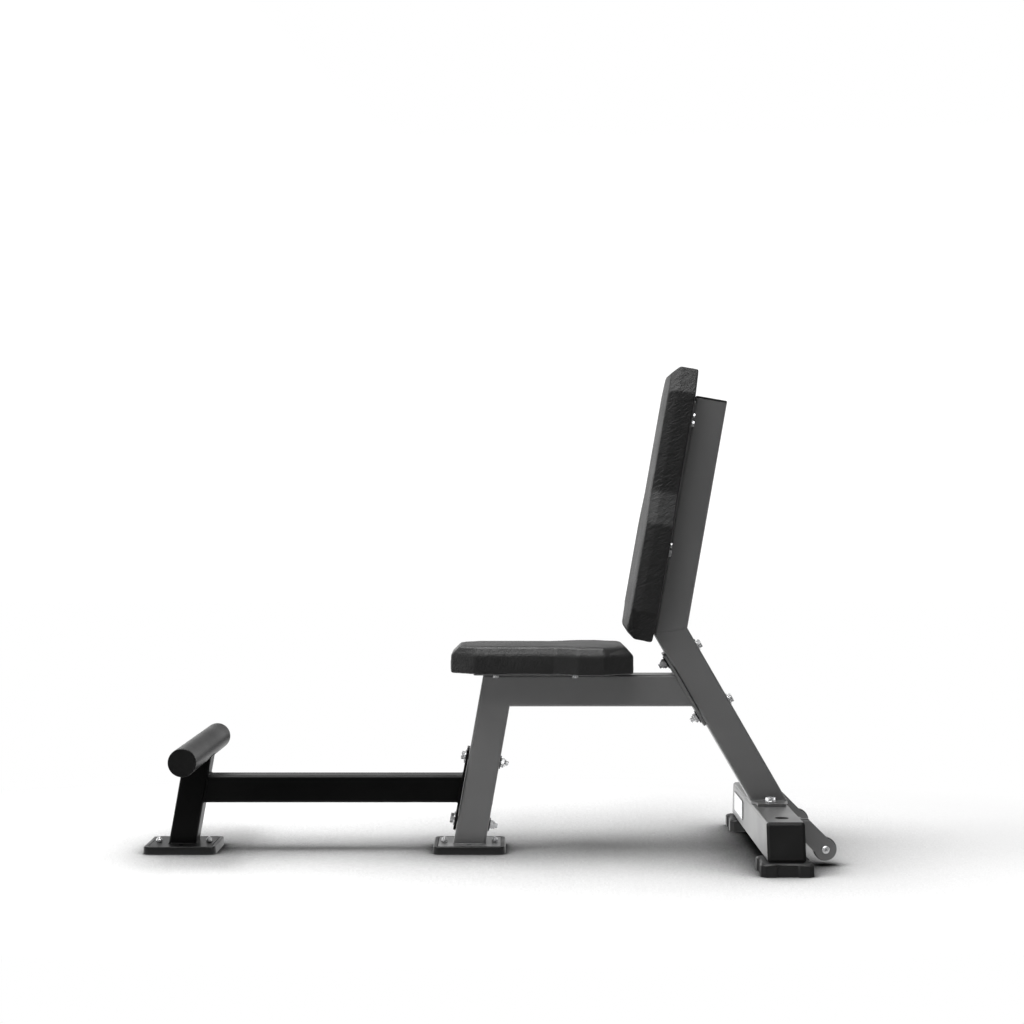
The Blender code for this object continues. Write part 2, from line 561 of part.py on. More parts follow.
AXLE_RADIUS = 5.0
AXLE_HOLE = 5.5
AXLE_NUT = (16.0, 8.0)
BUSH_RADIUS = 7.0
WHEEL_BORE = 7.1
plate_step = (FORK_WIDTH - FORK_PLATE) / 2
for side, direction in (("left", -1), ("right", 1)):
    for place, step in (("outer", plate_step), ("inner", -plate_step)):
        flat_plate("wheel_fork_" + side + "_" + place, GREY_PAINT, fork_outline(), FORK_PLATE,
                   shift(0, direction * (WHEEL_Y + step), 0) @ turn(90, "X"), [(AXLE_X, AXLE_Z, AXLE_HOLE)])
    wheel_frame = shift(AXLE_X, direction * WHEEL_Y, AXLE_Z) @ turn(90, "X")
    half_width, dish, wheel_sides = WHEEL_WIDTH / 2, 2.0, 32
    tyre = [(WHEEL_RADIUS - 2, half_width), (WHEEL_RADIUS, half_width - 2), (WHEEL_RADIUS, 2 - half_width),
            (WHEEL_RADIUS - 2, -half_width), (17, -half_width), (15.5, dish - half_width),
            (WHEEL_BORE, dish - half_width), (WHEEL_BORE, half_width - dish), (15.5, half_width - dish),
            (17, half_width)]
    profile = bpy.data.meshes.new("wheel_" + side)
    profile.from_pydata([(x * MM, 0, z * MM) for x, z in tyre],
                        [(i, (i + 1) % len(tyre)) for i in range(len(tyre))], [])
    wheel = add_part("wheel_" + side, profile, BLACK_RUBBER, wheel_frame)
    lathe = wheel.modifiers.new("turned", "SCREW")
    lathe.steps = lathe.render_steps = wheel_sides
    lathe.use_merge_vertices = True
    lathe.merge_threshold = 0.0001
    lathe.use_smooth_shade = True
    half_bush = (FORK_WIDTH - 2 * FORK_PLATE) / 2 - GAP
    bush = [circle(radius, height, wheel_sides) for radius, height in (
        (BUSH_RADIUS, -half_bush), (BUSH_RADIUS, half_bush), (AXLE_HOLE, half_bush), (AXLE_HOLE, -half_bush))]
    add_part("wheel_bush_" + side, loft("wheel_bush_" + side, bush, hollow=True), BRIGHT_ZINC, wheel_frame)

    nut_flats, nut_height = AXLE_NUT
    nut_low = FORK_WIDTH + 2 * GAP
    nut_top = nut_low + nut_height
    axle = [circle(radius, height, 12) for radius, height in (
        (4.6, -4.5), (7.6, -3), (8.5, 0), (AXLE_RADIUS, 0), (AXLE_RADIUS, nut_low))]
    axle += [hexagon(nut_flats, nut_low), hexagon(nut_flats, nut_top), circle(AXLE_RADIUS, nut_top, 12),
             circle(AXLE_RADIUS, nut_top + 3, 12)]
    head_y = direction * (WHEEL_Y + FORK_WIDTH / 2 + GAP)
    axle_frame = shift(AXLE_X, head_y, AXLE_Z) @ turn(90 * direction, "X")
    add_part("axle_bolt_" + side, loft("axle_bolt_" + side, axle), BRIGHT_ZINC, axle_frame)
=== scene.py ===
"""Upright utility bench, dressed: powder-coated square tube, black upholstery, rubber feet, zinc bolts.

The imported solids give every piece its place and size. Lengths are in metres in the bench's own frame:
+X runs from the foot bar to the wheels, +Y to the sitter's right, and +Z up.
"""
from math import atan2, copysign, cos, pi, radians, sin, tan

import bmesh
import bpy
from mathutils import Matrix, Vector, geometry
from mathutils.bvhtree import BVHTree


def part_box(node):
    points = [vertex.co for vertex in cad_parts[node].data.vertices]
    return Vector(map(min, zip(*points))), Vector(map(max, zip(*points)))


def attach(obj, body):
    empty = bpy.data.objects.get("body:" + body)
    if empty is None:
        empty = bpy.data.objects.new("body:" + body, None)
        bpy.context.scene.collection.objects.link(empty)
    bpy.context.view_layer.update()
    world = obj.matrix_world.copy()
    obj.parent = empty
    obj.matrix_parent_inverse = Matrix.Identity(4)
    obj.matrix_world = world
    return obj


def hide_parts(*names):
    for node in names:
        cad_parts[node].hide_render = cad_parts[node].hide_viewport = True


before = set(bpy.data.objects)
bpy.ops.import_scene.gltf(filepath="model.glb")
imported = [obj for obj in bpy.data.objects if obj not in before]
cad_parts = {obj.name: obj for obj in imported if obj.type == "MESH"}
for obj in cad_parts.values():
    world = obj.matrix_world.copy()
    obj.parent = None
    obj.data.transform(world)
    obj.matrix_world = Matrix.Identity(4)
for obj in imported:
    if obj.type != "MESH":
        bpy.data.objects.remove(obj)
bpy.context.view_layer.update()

# Camera: square to the bench's left side and level, as in a catalogue's side view. The focal length is
# in pixels of an image 1024 pixels wide.
IMAGE_WIDTH = 1024
FOCAL_PIXELS = 1924.5
CAMERA_PLACE = (0.0603, -4.290, 0.7513)

view = bpy.data.cameras.new("side_view")
view.sensor_width = 36.0
view.lens = FOCAL_PIXELS / IMAGE_WIDTH * view.sensor_width
camera = bpy.data.objects.new("side_view", view)
camera.location = CAMERA_PLACE
camera.rotation_euler = (pi / 2, 0, 0)
bpy.context.scene.collection.objects.link(camera)
bpy.context.scene.camera = camera
bpy.context.scene.view_settings.view_transform = "Standard"


# Studio: a white cove behind the bench and a dim room behind the camera, so that faces turned to the
# camera stay dark while slanting ones pick up the white. A faint window left of the camera is for the
# pads, and four soft boxes hang in front, overhead and on the left.
def linear(hex_colour):
    """Linear RGBA of an sRGB hex colour."""
    channels = [int(hex_colour[i:i + 2], 16) / 255 for i in (1, 3, 5)]
    return (*[c / 12.92 if c <= 0.04045 else ((c + 0.055) / 1.055) ** 2.4 for c in channels], 1.0)


def add_node(tree, kind, inputs=None, **settings):
    """Add a node: an input given as a socket is linked, and any other value is set on it."""
    made = tree.nodes.new(kind)
    for name, value in settings.items():
        setattr(made, name, value)
    for name, value in (inputs or {}).items():
        if isinstance(value, bpy.types.NodeSocket):
            tree.links.new(value, made.inputs[name])
        else:
            made.inputs[name].default_value = value
    return made


def add_ramp(tree, value, edges, start, stop, interpolation="SMOOTHSTEP"):
    """Value that runs from one amount to another while the given one runs between two edges."""
    return add_node(tree, "ShaderNodeMapRange", {"Value": value, "From Min": edges[0], "From Max": edges[1],
                                                 "To Min": start, "To Max": stop},
                    interpolation_type=interpolation)


COVE_GLOW, ROOM_GLOW, DIM_SIDE, FRONT_FILL, BACK_FILL = 1.6, 0.01, 0.68, 0.33, 0.2
COVE_TOP, BRIGHT_SIDE, BAND_TOP = 0.16, 1.5, 0.1
COVE_EDGE, SIDE_EDGE, CREST_EDGE = (-0.15, 0.65), (-0.35, -0.05), (0.12, 0.5)
FILL_EDGE, BAND_EDGE = (-0.5, 0.5), (0.15, 0.75)
WINDOW_AXIS, WINDOW_GLOW, WINDOW_EDGE = (-0.66, -0.71, 0.22), 0.45, (0.85, 0.97)
world = bpy.data.worlds.new("studio")
bpy.context.scene.world = world
world.use_nodes = True
studio = world.node_tree
studio.nodes.clear()
ray = add_node(studio, "ShaderNodeLightPath")
toward = add_node(studio, "ShaderNodeTexCoord")
direction = add_node(studio, "ShaderNodeSeparateXYZ", {"Vector": toward.outputs["Generated"]})
cove = add_ramp(studio, direction.outputs["Y"], COVE_EDGE, ROOM_GLOW, COVE_GLOW)
side = add_ramp(studio, direction.outputs["X"], SIDE_EDGE, BRIGHT_SIDE, DIM_SIDE)
crest = add_ramp(studio, direction.outputs["Z"], CREST_EDGE, 1.0, COVE_TOP)
lowered = add_node(studio, "ShaderNodeMath", {0: cove.outputs["Result"], 1: crest.outputs["Result"]},
                   operation="MULTIPLY")
sided = add_node(studio, "ShaderNodeMath", {0: lowered.outputs[0], 1: side.outputs["Result"]},
                 operation="MULTIPLY")
fill = add_ramp(studio, direction.outputs["Y"], FILL_EDGE, FRONT_FILL, BACK_FILL, "LINEAR")
low = add_ramp(studio, direction.outputs["Z"], BAND_EDGE, 1.0, BAND_TOP)
band = add_node(studio, "ShaderNodeMath", {0: fill.outputs["Result"], 1: low.outputs["Result"]},
                operation="MULTIPLY")
toward_window = add_node(studio, "ShaderNodeVectorMath", {0: toward.outputs["Generated"], 1: WINDOW_AXIS},
                         operation="DOT_PRODUCT")
window = add_ramp(studio, toward_window.outputs["Value"], WINDOW_EDGE, 0.0, WINDOW_GLOW)
mirrored = add_node(studio, "ShaderNodeMath", {0: sided.outputs[0], 1: window.outputs["Result"]},
                    operation="ADD")
lit = add_node(studio, "ShaderNodeMix", {"Factor": ray.outputs["Is Diffuse Ray"], "A": mirrored.outputs[0],
                                         "B": band.outputs[0]})
seen = add_node(studio, "ShaderNodeMath", {0: lit.outputs["Result"], 1: ray.outputs["Is Camera Ray"]},
                operation="MAXIMUM")
glow = add_node(studio, "ShaderNodeBackground", {"Color": (1.0, 1.0, 1.0, 1.0), "Strength": seen.outputs[0]})
add_node(studio, "ShaderNodeOutputWorld", {"Surface": glow.outputs["Background"]})


def add_soft_box(name, place, target, width, height, power):
    """Area lamp aimed at a point."""
    lamp = bpy.data.lights.new(name, "AREA")
    lamp.shape = "RECTANGLE"
    lamp.size, lamp.size_y, lamp.energy = width, height, power
    box = bpy.data.objects.new(name, lamp)
    box.location = place
    box.rotation_euler = (Vector(target) - Vector(place)).to_track_quat("-Z", "Y").to_euler()
    bpy.context.scene.collection.objects.link(box)


add_soft_box("front_box", (-0.6, -5.9, 6.4), (0.05, 0, 0.4), 3.2, 2.0, 172)
add_soft_box("overhead_box", (-0.1, -0.3, 3.6), (0.05, 0, 0), 2.4, 2.4, 95)
add_soft_box("ceiling_box", (-0.3, -0.2, 3.7), (0.05, 0, 0), 3.6, 3.2, 75)
add_soft_box("left_box", (-1.7, -0.3, 3.2), (0.1, 0, 0.45), 1.4, 1.0, 50)

# Floor: matt white paper. The camera sees it brighter than other rays do, so that it meets the cove
# without an edge, and it keeps the bench's shadow from the lamps, deepened by a painted shadow from ambient
# occlusion. Near the bench and in front of it the floor glows for diffuse rays as painted bounce light, and
# in reflections it is painted dark in front of the bench and glowing white behind it.
FLOOR_SIZE, CLEAR_FLOOR, WHITE_FLOOR, FLOOR_BOOST = 24.0, 0.6, 1.15, 0.76
SHADE_REACH, SHADE_POWER, FLOOR_GLEAM, FLOOR_BOUNCE = 0.9, 2.8, 0.9, 1.05
OVAL, FRONT_EDGE, GLEAM_EDGE, GLEAM_NEAR, GLEAM_FAR = (0.55, 1.0, 1.0), (0.25, -0.3), (0.9, 1.8), 1.65, 0.15
floor_mesh = bpy.data.meshes.new("floor")
half_floor = FLOOR_SIZE / 2
floor_mesh.from_pydata([(-half_floor, -half_floor, 0), (half_floor, -half_floor, 0),
                        (half_floor, half_floor, 0), (-half_floor, half_floor, 0)], [], [(0, 1, 2, 3)])
floor = bpy.data.objects.new("floor", floor_mesh)
bpy.context.scene.collection.objects.link(floor)
paper = bpy.data.materials.new("white_paper")
paper.use_nodes = True
tree = paper.node_tree
tree.nodes.clear()
ray = add_node(tree, "ShaderNodeLightPath")
place = add_node(tree, "ShaderNodeTexCoord")
oval = add_node(tree, "ShaderNodeMapping", {"Vector": place.outputs["Object"], "Scale": OVAL})
away = add_node(tree, "ShaderNodeVectorMath", {0: oval.outputs["Vector"]}, operation="LENGTH")
fade = add_ramp(tree, away.outputs["Value"], (CLEAR_FLOOR, WHITE_FLOOR), 0.0, 1.0)
spot = add_node(tree, "ShaderNodeSeparateXYZ", {"Vector": place.outputs["Object"]})
front = add_ramp(tree, spot.outputs["Y"], FRONT_EDGE, 0.0, 1.0, "LINEAR")
# Painted reflections: glossy rays see the floor dark in front of the bench, and glowing white behind it.
dimmed = add_node(tree, "ShaderNodeMath", {0: front.outputs["Result"], 1: ray.outputs["Is Glossy Ray"]},
                  operation="MULTIPLY")
tone = add_node(tree, "ShaderNodeMix", {"Factor": dimmed.outputs[0], "A": linear("#E6E6E6"),
                                        "B": linear("#242424")}, data_type="RGBA")
matt = add_node(tree, "ShaderNodeBsdfDiffuse", {"Color": tone.outputs["Result"]})
gleam = add_node(tree, "ShaderNodeMath", {0: ray.outputs["Is Glossy Ray"], 1: dimmed.outputs[0]},
                 operation="SUBTRACT")
lifted = add_node(tree, "ShaderNodeMath", {0: gleam.outputs[0], 1: FLOOR_GLEAM}, operation="MULTIPLY")
fading = add_ramp(tree, spot.outputs["Y"], GLEAM_EDGE, GLEAM_NEAR, GLEAM_FAR, "LINEAR")
bright = add_node(tree, "ShaderNodeEmission", {"Color": (1.0, 1.0, 1.0, 1.0),
                                               "Strength": fading.outputs["Result"]})
gleaming = add_node(tree, "ShaderNodeMixShader", {0: lifted.outputs[0], 1: matt.outputs["BSDF"],
                                                  2: bright.outputs["Emission"]})
# Painted bounce light: near the bench and in front of it, the floor glows for diffuse rays.
near_by = add_node(tree, "ShaderNodeMath", {0: 1.0, 1: fade.outputs["Result"]}, operation="SUBTRACT")
below = add_node(tree, "ShaderNodeMath", {0: near_by.outputs[0], 1: front.outputs["Result"]},
                 operation="MULTIPLY")
lift = add_node(tree, "ShaderNodeMath", {0: below.outputs[0], 1: ray.outputs["Is Diffuse Ray"]},
                operation="MULTIPLY")
power = add_node(tree, "ShaderNodeMath", {0: lift.outputs[0], 1: FLOOR_BOUNCE}, operation="MULTIPLY")
bounce = add_node(tree, "ShaderNodeEmission", {"Color": (1.0, 1.0, 1.0, 1.0), "Strength": power.outputs[0]})
plain = add_node(tree, "ShaderNodeAddShader", {0: gleaming.outputs["Shader"], 1: bounce.outputs["Emission"]})
# Painted shadow: for the camera, ambient occlusion raised to a power darkens the floor's colour near the
# bench.
nook = add_node(tree, "ShaderNodeAmbientOcclusion", {"Distance": SHADE_REACH}, samples=8)
shade = add_node(tree, "ShaderNodeMath", {0: nook.outputs["AO"], 1: SHADE_POWER}, operation="POWER")
level = add_node(tree, "ShaderNodeMath", {0: shade.outputs[0], 1: FLOOR_BOOST}, operation="MULTIPLY")
pale = add_node(tree, "ShaderNodeCombineColor", {i: level.outputs[0] for i in range(3)})
boosted = add_node(tree, "ShaderNodeBsdfDiffuse", {"Color": pale.outputs["Color"]})
white = add_node(tree, "ShaderNodeEmission", {"Color": (1.0, 1.0, 1.0, 1.0), "Strength": 1.0})
shown = add_node(tree, "ShaderNodeMixShader", {0: fade.outputs["Result"], 1: boosted.outputs["BSDF"],
                                               2: white.outputs["Emission"]})
either = add_node(tree, "ShaderNodeMixShader", {0: ray.outputs["Is Camera Ray"], 1: plain.outputs["Shader"],
                                                2: shown.outputs["Shader"]})
add_node(tree, "ShaderNodeOutputMaterial", {"Surface": either.outputs["Shader"]})
floor_mesh.materials.append(paper)


# Rubber boots under the front and middle feet: black moulded rubber with a raised rim round the sunk foot
# plate. Each is a smooth copy of its solid, a little fuller above its sole, with its edges rounded.
def start_material(name, constants):
    """New material with constants set on its shader, returned with its tree, shader and coordinates."""
    material = bpy.data.materials.new(name)
    material.use_nodes = True
    tree = material.node_tree
    shader = tree.nodes["Principled BSDF"]
    for socket, value in constants.items():
        shader.inputs[socket].default_value = value
    place = add_node(tree, "ShaderNodeTexCoord").outputs["Object"]
    return material, tree, shader, place


def add_tone(tree, shader, place, size, darker, lighter, smooth, rough):
    """Slow drift of colour and roughness over patches of a real size."""
    patches = add_node(tree, "ShaderNodeTexNoise", {"Vector": place, "Scale": 1 / size, "Detail": 3.0})
    tone = add_node(tree, "ShaderNodeMix", {"Factor": patches.outputs["Fac"], "A": linear(darker),
                                            "B": linear(lighter)}, data_type="RGBA")
    gloss = add_node(tree, "ShaderNodeMapRange", {"Value": patches.outputs["Fac"], "From Min": 0.3,
                                                  "From Max": 0.7, "To Min": smooth, "To Max": rough})
    tree.links.new(tone.outputs["Result"], shader.inputs["Base Color"])
    tree.links.new(gloss.outputs["Result"], shader.inputs["Roughness"])


def moulded(name, darker, lighter, smooth, rough, pit, relief):
    """Moulded rubber or plastic: a fine spark-eroded skin, in pits of a real size and relief."""
    material, tree, shader, place = start_material(name, {"IOR": 1.5, "Specular IOR Level": 0.3})
    add_tone(tree, shader, place, 0.06, darker, lighter, smooth, rough)
    skin = add_node(tree, "ShaderNodeTexNoise", {"Vector": place, "Scale": 1 / pit, "Detail": 2.0})
    bump = add_node(tree, "ShaderNodeBump", {"Height": skin.outputs["Fac"], "Strength": 0.6,
                                             "Distance": relief})
    tree.links.new(bump.outputs["Normal"], shader.inputs["Normal"])
    return material


def smooth_mesh(name, bm, sharp=40.0):
    """Mesh of a bmesh, shaded smooth up to an angle."""
    mesh = bpy.data.meshes.new(name)
    bm.to_mesh(mesh)
    bm.free()
    mesh.shade_smooth()
    mesh.set_sharp_from_angle(angle=radians(sharp))
    return mesh


def add_piece(name, mesh, material, body="frame", replaces=()):
    """Put a finished mesh in the scene, on its body."""
    if not mesh.materials:
        mesh.materials.append(material)
    piece = bpy.data.objects.new(name, mesh)
    bpy.context.scene.collection.objects.link(piece)
    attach(piece, body)
    if replaces:
        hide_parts(*replaces)
    return piece


def merged_solid(node):
    """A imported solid's triangles, joined into its flat faces."""
    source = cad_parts[node].data
    mesh = bpy.data.meshes.new(node)
    mesh.from_pydata([v.co for v in source.vertices], [], [list(p.vertices) for p in source.polygons])
    bm = bmesh.new()
    bm.from_mesh(mesh)
    bpy.data.meshes.remove(mesh)
    bmesh.ops.remove_doubles(bm, verts=bm.verts, dist=1e-6)
    bmesh.ops.dissolve_limit(bm, angle_limit=radians(0.5), verts=bm.verts, edges=bm.edges)
    return bm


def finished_mesh(maker):
    """Plain mesh of an object with its modifiers applied; the object is removed."""
    solved = maker.evaluated_get(bpy.context.evaluated_depsgraph_get())
    mesh = bpy.data.meshes.new_from_object(solved)
    bpy.data.objects.remove(maker)
    return mesh


def dress(node, material, radius, segments=3, crease=40.0, body="frame", bm=None):
    """Replace a solid by a smooth copy of it, or by a given form, whose edges are rounded to a radius."""
    maker = bpy.data.objects.new(node + "_maker", smooth_mesh(node, bm or merged_solid(node), crease))
    bpy.context.scene.collection.objects.link(maker)
    if radius:
        rounded = maker.modifiers.new("rounded", "BEVEL")
        rounded.width, rounded.segments = radius, segments
        rounded.limit_method, rounded.angle_limit = "ANGLE", radians(crease)
    flat = maker.modifiers.new("flat_faces", "WEIGHTED_NORMAL")
    flat.keep_sharp = True
    mesh = finished_mesh(maker)
    mesh.materials.clear()
    return add_piece("dressed_" + node, mesh, material, body, [node])


# Black nitrile rubber out of a polished mould, dusty matt with a faint sheen on its edges
boot_rubber = moulded("moulded_nitrile_rubber", "#0D0D0D", "#131313", 0.36, 0.48, 0.0016, 0.0002)
BOOT_SWELL, SWELL_ZONE, SOLE = 0.0035, 0.022, 0.004


def widened(node, growth, zone, above=0.0):
    """A low solid whose sides, above a height, are pushed outwards."""
    bm = merged_solid(node)
    low, high = (Vector(corner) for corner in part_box(node))
    for v in bm.verts:
        for i in (0, 1):
            reach = v.co[i] - (low[i] + high[i]) / 2
            if v.co.z > low.z + above and abs(reach) > (high[i] - low[i]) / 2 - zone:
                v.co[i] += copysign(growth, reach)
    return bm


for node in ("front_foot_boot", "middle_foot_boot"):
    dress(node, boot_rubber, 0.0012, bm=widened(node, BOOT_SWELL, SWELL_ZONE, SOLE))


# Welded steel frame: square tube and flat plate, welded up and then powder coated, black in front and dark
# grey behind. The foot plates fill their boots, and a mitred tube's end closes on the tube beside it.
def powder_coat(name, darker, lighter, smooth, rough, specular):
    """Baked polyester powder: satin, with an orange peel of about 2 mm, coarser than life to show."""
    material, tree, shader, place = start_material(name, {"IOR": 1.5, "Specular IOR Level": specular})
    add_tone(tree, shader, place, 0.11, darker, lighter, smooth, rough)
    peel = add_node(tree, "ShaderNodeTexNoise", {"Vector": place, "Scale": 1 / 0.0022, "Detail": 1.0})
    bump = add_node(tree, "ShaderNodeBump", {"Height": peel.outputs["Fac"], "Strength": 0.35,
                                             "Distance": 0.00012})
    tree.links.new(bump.outputs["Normal"], shader.inputs["Normal"])
    return material


# Dark grey satin powder coat, a warm slate that turns pale where it mirrors the cove
grey_coat = powder_coat("dark_grey_powder_coat", "#535353", "#5A5A5A", 0.32, 0.39, 0.58)
# Deep black satin powder coat that only shows light along its edges
black_coat = powder_coat("black_powder_coat", "#030303", "#060606", 0.4, 0.47, 0.18)

PLATE_EDGE, PLATE_GROWTH, PLATE_ROUND, MITRE_GAP = 0.010, 0.0028, 0.0009, 0.0005
for node in ("foot_strut", "foot_beam", "foot_bar"):
    dress(node, black_coat, 0.0)
for node, coat, slot in (("front_foot_plate", black_coat, "black_frame"),
                         ("middle_foot_plate", grey_coat, "grey_frame")):
    dress(node, coat, PLATE_ROUND, bm=widened(node, PLATE_GROWTH, PLATE_EDGE))
dress("front_joint_plate", black_coat, PLATE_ROUND)
for node, beside in (("front_leg", None), ("seat_beam", "front_leg"), ("rear_leg", None),
                     ("back_post", "rear_leg"), ("stabiliser", None)):
    bm = merged_solid(node)
    if beside:
        joined = BVHTree.FromBMesh(merged_solid(beside))
        for v in bm.verts:
            spot, _, _, distance = joined.find_nearest(v.co)
            if distance < MITRE_GAP:
                v.co = spot
    dress(node, grey_coat, 0.0, bm=bm)
for node in ("rear_joint_plate", "seat_mount_plate", "back_mount_plate", "rear_base_plate",
             "wheel_fork_left_inner", "wheel_fork_left_outer", "wheel_fork_right_inner",
             "wheel_fork_right_outer"):
    dress(node, grey_coat, PLATE_ROUND)


# Weld beads: where a tube stands on a plate or on another tube, a small rippled fillet runs round it under
# the paint. The two mitres are ground flush, so their seams are narrow and plain.
def outline_on(node, point, normal, near=0.0008):
    """Outline of a solid's corners on a plane, in order round it."""
    direction = Vector(normal).normalized()
    turn = direction.to_track_quat("Z", "Y").to_matrix()
    corners = [v.co.copy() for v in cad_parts[node].data.vertices
               if abs((v.co - Vector(point)).dot(direction)) < near]
    order = geometry.convex_hull_2d([(turn.transposed() @ corner).xy for corner in corners])
    return [corners[i] for i in order]


def node_group(name, sockets):
    """Empty geometry node tree with named inputs, its input and output nodes and the sockets' identifiers."""
    tree = bpy.data.node_groups.new(name, "GeometryNodeTree")
    tree.interface.new_socket("Geometry", in_out="OUTPUT", socket_type="NodeSocketGeometry")
    names = {}
    for label, kind in {"Geometry": "Geometry", **sockets}.items():
        socket = tree.interface.new_socket(label, in_out="INPUT", socket_type="NodeSocket" + kind)
        names[label] = socket.identifier
    return tree, add_node(tree, "NodeGroupInput").outputs, add_node(tree, "NodeGroupOutput"), names


def run_nodes(name, mesh, group, names, values):
    """Plain mesh of a node tree run on a mesh with these input values."""
    maker = bpy.data.objects.new(name, mesh)
    bpy.context.scene.collection.objects.link(maker)
    modifier = maker.modifiers.new(name, "NODES")
    modifier.node_group = group
    for label, value in values.items():
        modifier[names[label]] = value
    return finished_mesh(maker)


def finish_tree(tree, end, geometry_socket, material_socket):
    """End a node tree with plain geometry and its material."""
    plain = add_node(tree, "GeometryNodeRealizeInstances", {"Geometry": geometry_socket})
    painted = add_node(tree, "GeometryNodeSetMaterial", {"Geometry": plain.outputs["Geometry"],
                                                         "Material": material_socket})
    tree.links.new(painted.outputs["Geometry"], end.inputs["Geometry"])


bead_tree, given, end, bead_names = node_group(
    "weld_bead", {"Radius": "Float", "Pitch": "Float", "Ripple": "Float", "Finish": "Material"})
path = add_node(bead_tree, "GeometryNodeMeshToCurve", {"Mesh": given["Geometry"]})
quarter = add_node(bead_tree, "ShaderNodeMath", {0: given["Pitch"], 1: 0.25}, operation="MULTIPLY")
steps = add_node(bead_tree, "GeometryNodeResampleCurve", {"Curve": path.outputs["Curve"],
                                                          "Length": quarter.outputs[0]}, mode="LENGTH")
count = add_node(bead_tree, "GeometryNodeInputIndex")
phase = add_node(bead_tree, "ShaderNodeMath", {0: count.outputs["Index"], 1: pi / 4}, operation="MULTIPLY")
wave = add_node(bead_tree, "ShaderNodeMath", {0: phase.outputs[0]}, operation="SINE")
hump = add_node(bead_tree, "ShaderNodeMath", {0: wave.outputs[0]}, operation="ABSOLUTE")
swell = add_node(bead_tree, "ShaderNodeMath", {0: hump.outputs[0], 1: given["Ripple"], 2: 1.0},
                 operation="MULTIPLY_ADD")
section = add_node(bead_tree, "GeometryNodeCurvePrimitiveCircle", {"Resolution": 8, "Radius": given["Radius"]})
swept = add_node(bead_tree, "GeometryNodeCurveToMesh", {
    "Curve": steps.outputs["Curve"], "Profile Curve": section.outputs["Curve"], "Scale": swell.outputs[0],
    "Fill Caps": True})
finish_tree(bead_tree, end, swept.outputs["Mesh"], given["Finish"])


def add_seams(name, material, paths, radius=0.0013, pitch=0.0022, ripple=0.12):
    """Weld beads along paths: each is a list of points and whether it closes."""
    mesh = bpy.data.meshes.new(name)
    points, edges = [], []
    for corners, closed in paths:
        first = len(points)
        points += corners
        edges += [(first + i, first + i + 1) for i in range(len(corners) - 1)]
        edges += [(len(points) - 1, first)] * closed
    mesh.from_pydata(points, edges, [])
    values = {"Radius": radius, "Pitch": pitch, "Ripple": ripple, "Finish": material}
    swept_mesh = run_nodes(name, mesh, bead_tree, bead_names, values)
    swept_mesh.shade_smooth()
    return add_piece(name, swept_mesh, material)


def foot_of(node, low=True):
    """Lowest or highest corner of a solid."""
    corners = [v.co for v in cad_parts[node].data.vertices]
    return (min if low else max)(corners, key=lambda corner: corner.z)


def side_of(node, axis, low=True):
    """Corner of a solid furthest along a direction, or furthest against it."""
    corners = [v.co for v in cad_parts[node].data.vertices]
    return (min if low else max)(corners, key=lambda corner: corner.dot(Vector(axis)))


UP, LEAN, RAKE = (0, 0, 1), radians(10), radians(30)
LEG_FACE = (cos(LEAN), 0, -sin(LEAN))
RAKED_FACE = (cos(RAKE), 0, sin(RAKE))
add_seams("front_weld_beads", black_coat, [
    (outline_on("foot_strut", foot_of("foot_strut"), UP), True),
    (outline_on("foot_beam", side_of("foot_beam", LEG_FACE), LEG_FACE), True),
    (outline_on("foot_beam", side_of("foot_beam", LEG_FACE, False), LEG_FACE), True)])
add_seams("frame_weld_beads", grey_coat, [
    (outline_on("front_leg", foot_of("front_leg"), UP), True),
    (outline_on("seat_beam", side_of("seat_beam", RAKED_FACE, False), RAKED_FACE), True),
    (outline_on("rear_leg", foot_of("rear_leg"), UP), True)])

# Plastic end caps: black polypropylene, injection moulded and pushed into the open tube ends. The faces of
# the stabiliser's caps are drawn in to a broad chamfer.
# Black polypropylene with a fine moulded grain, a little shinier than the rubber
cap_plastic = moulded("moulded_polypropylene", "#121212", "#171717", 0.34, 0.44, 0.0014, 0.00012)
for node in ("foot_bar_cap_left", "foot_bar_cap_right", "back_post_cap"):
    dress(node, cap_plastic, 0.0008)
CAP_CHAMFER = 0.92
for node in ("stabiliser_cap_left", "stabiliser_cap_right"):
    bm = merged_solid(node)
    cap_face = max(bm.faces, key=lambda face: face.calc_area())
    cap_middle = cap_face.calc_center_median()
    for v in cap_face.verts:
        v.co = cap_middle.lerp(v.co, CAP_CHAMFER)
    dress(node, cap_plastic, 0.0005, crease=20, bm=bm)

# Rubber feet: a moulded block screwed under each end of the stabiliser, with its edges rounded.
# Grey-black foot rubber, duller than the boots and painted paler than them: the lighter black is painted light
# that makes up for the dim light on the feet's upright faces
foot_rubber_painted_paler = moulded("moulded_foot_rubber_painted_paler", "#1A1A1A", "#212121", 0.4, 0.5, 0.0016, 0.0002)
for node in ("rear_foot_left", "rear_foot_right"):
    dress(node, foot_rubber_painted_paler, 0.0014)

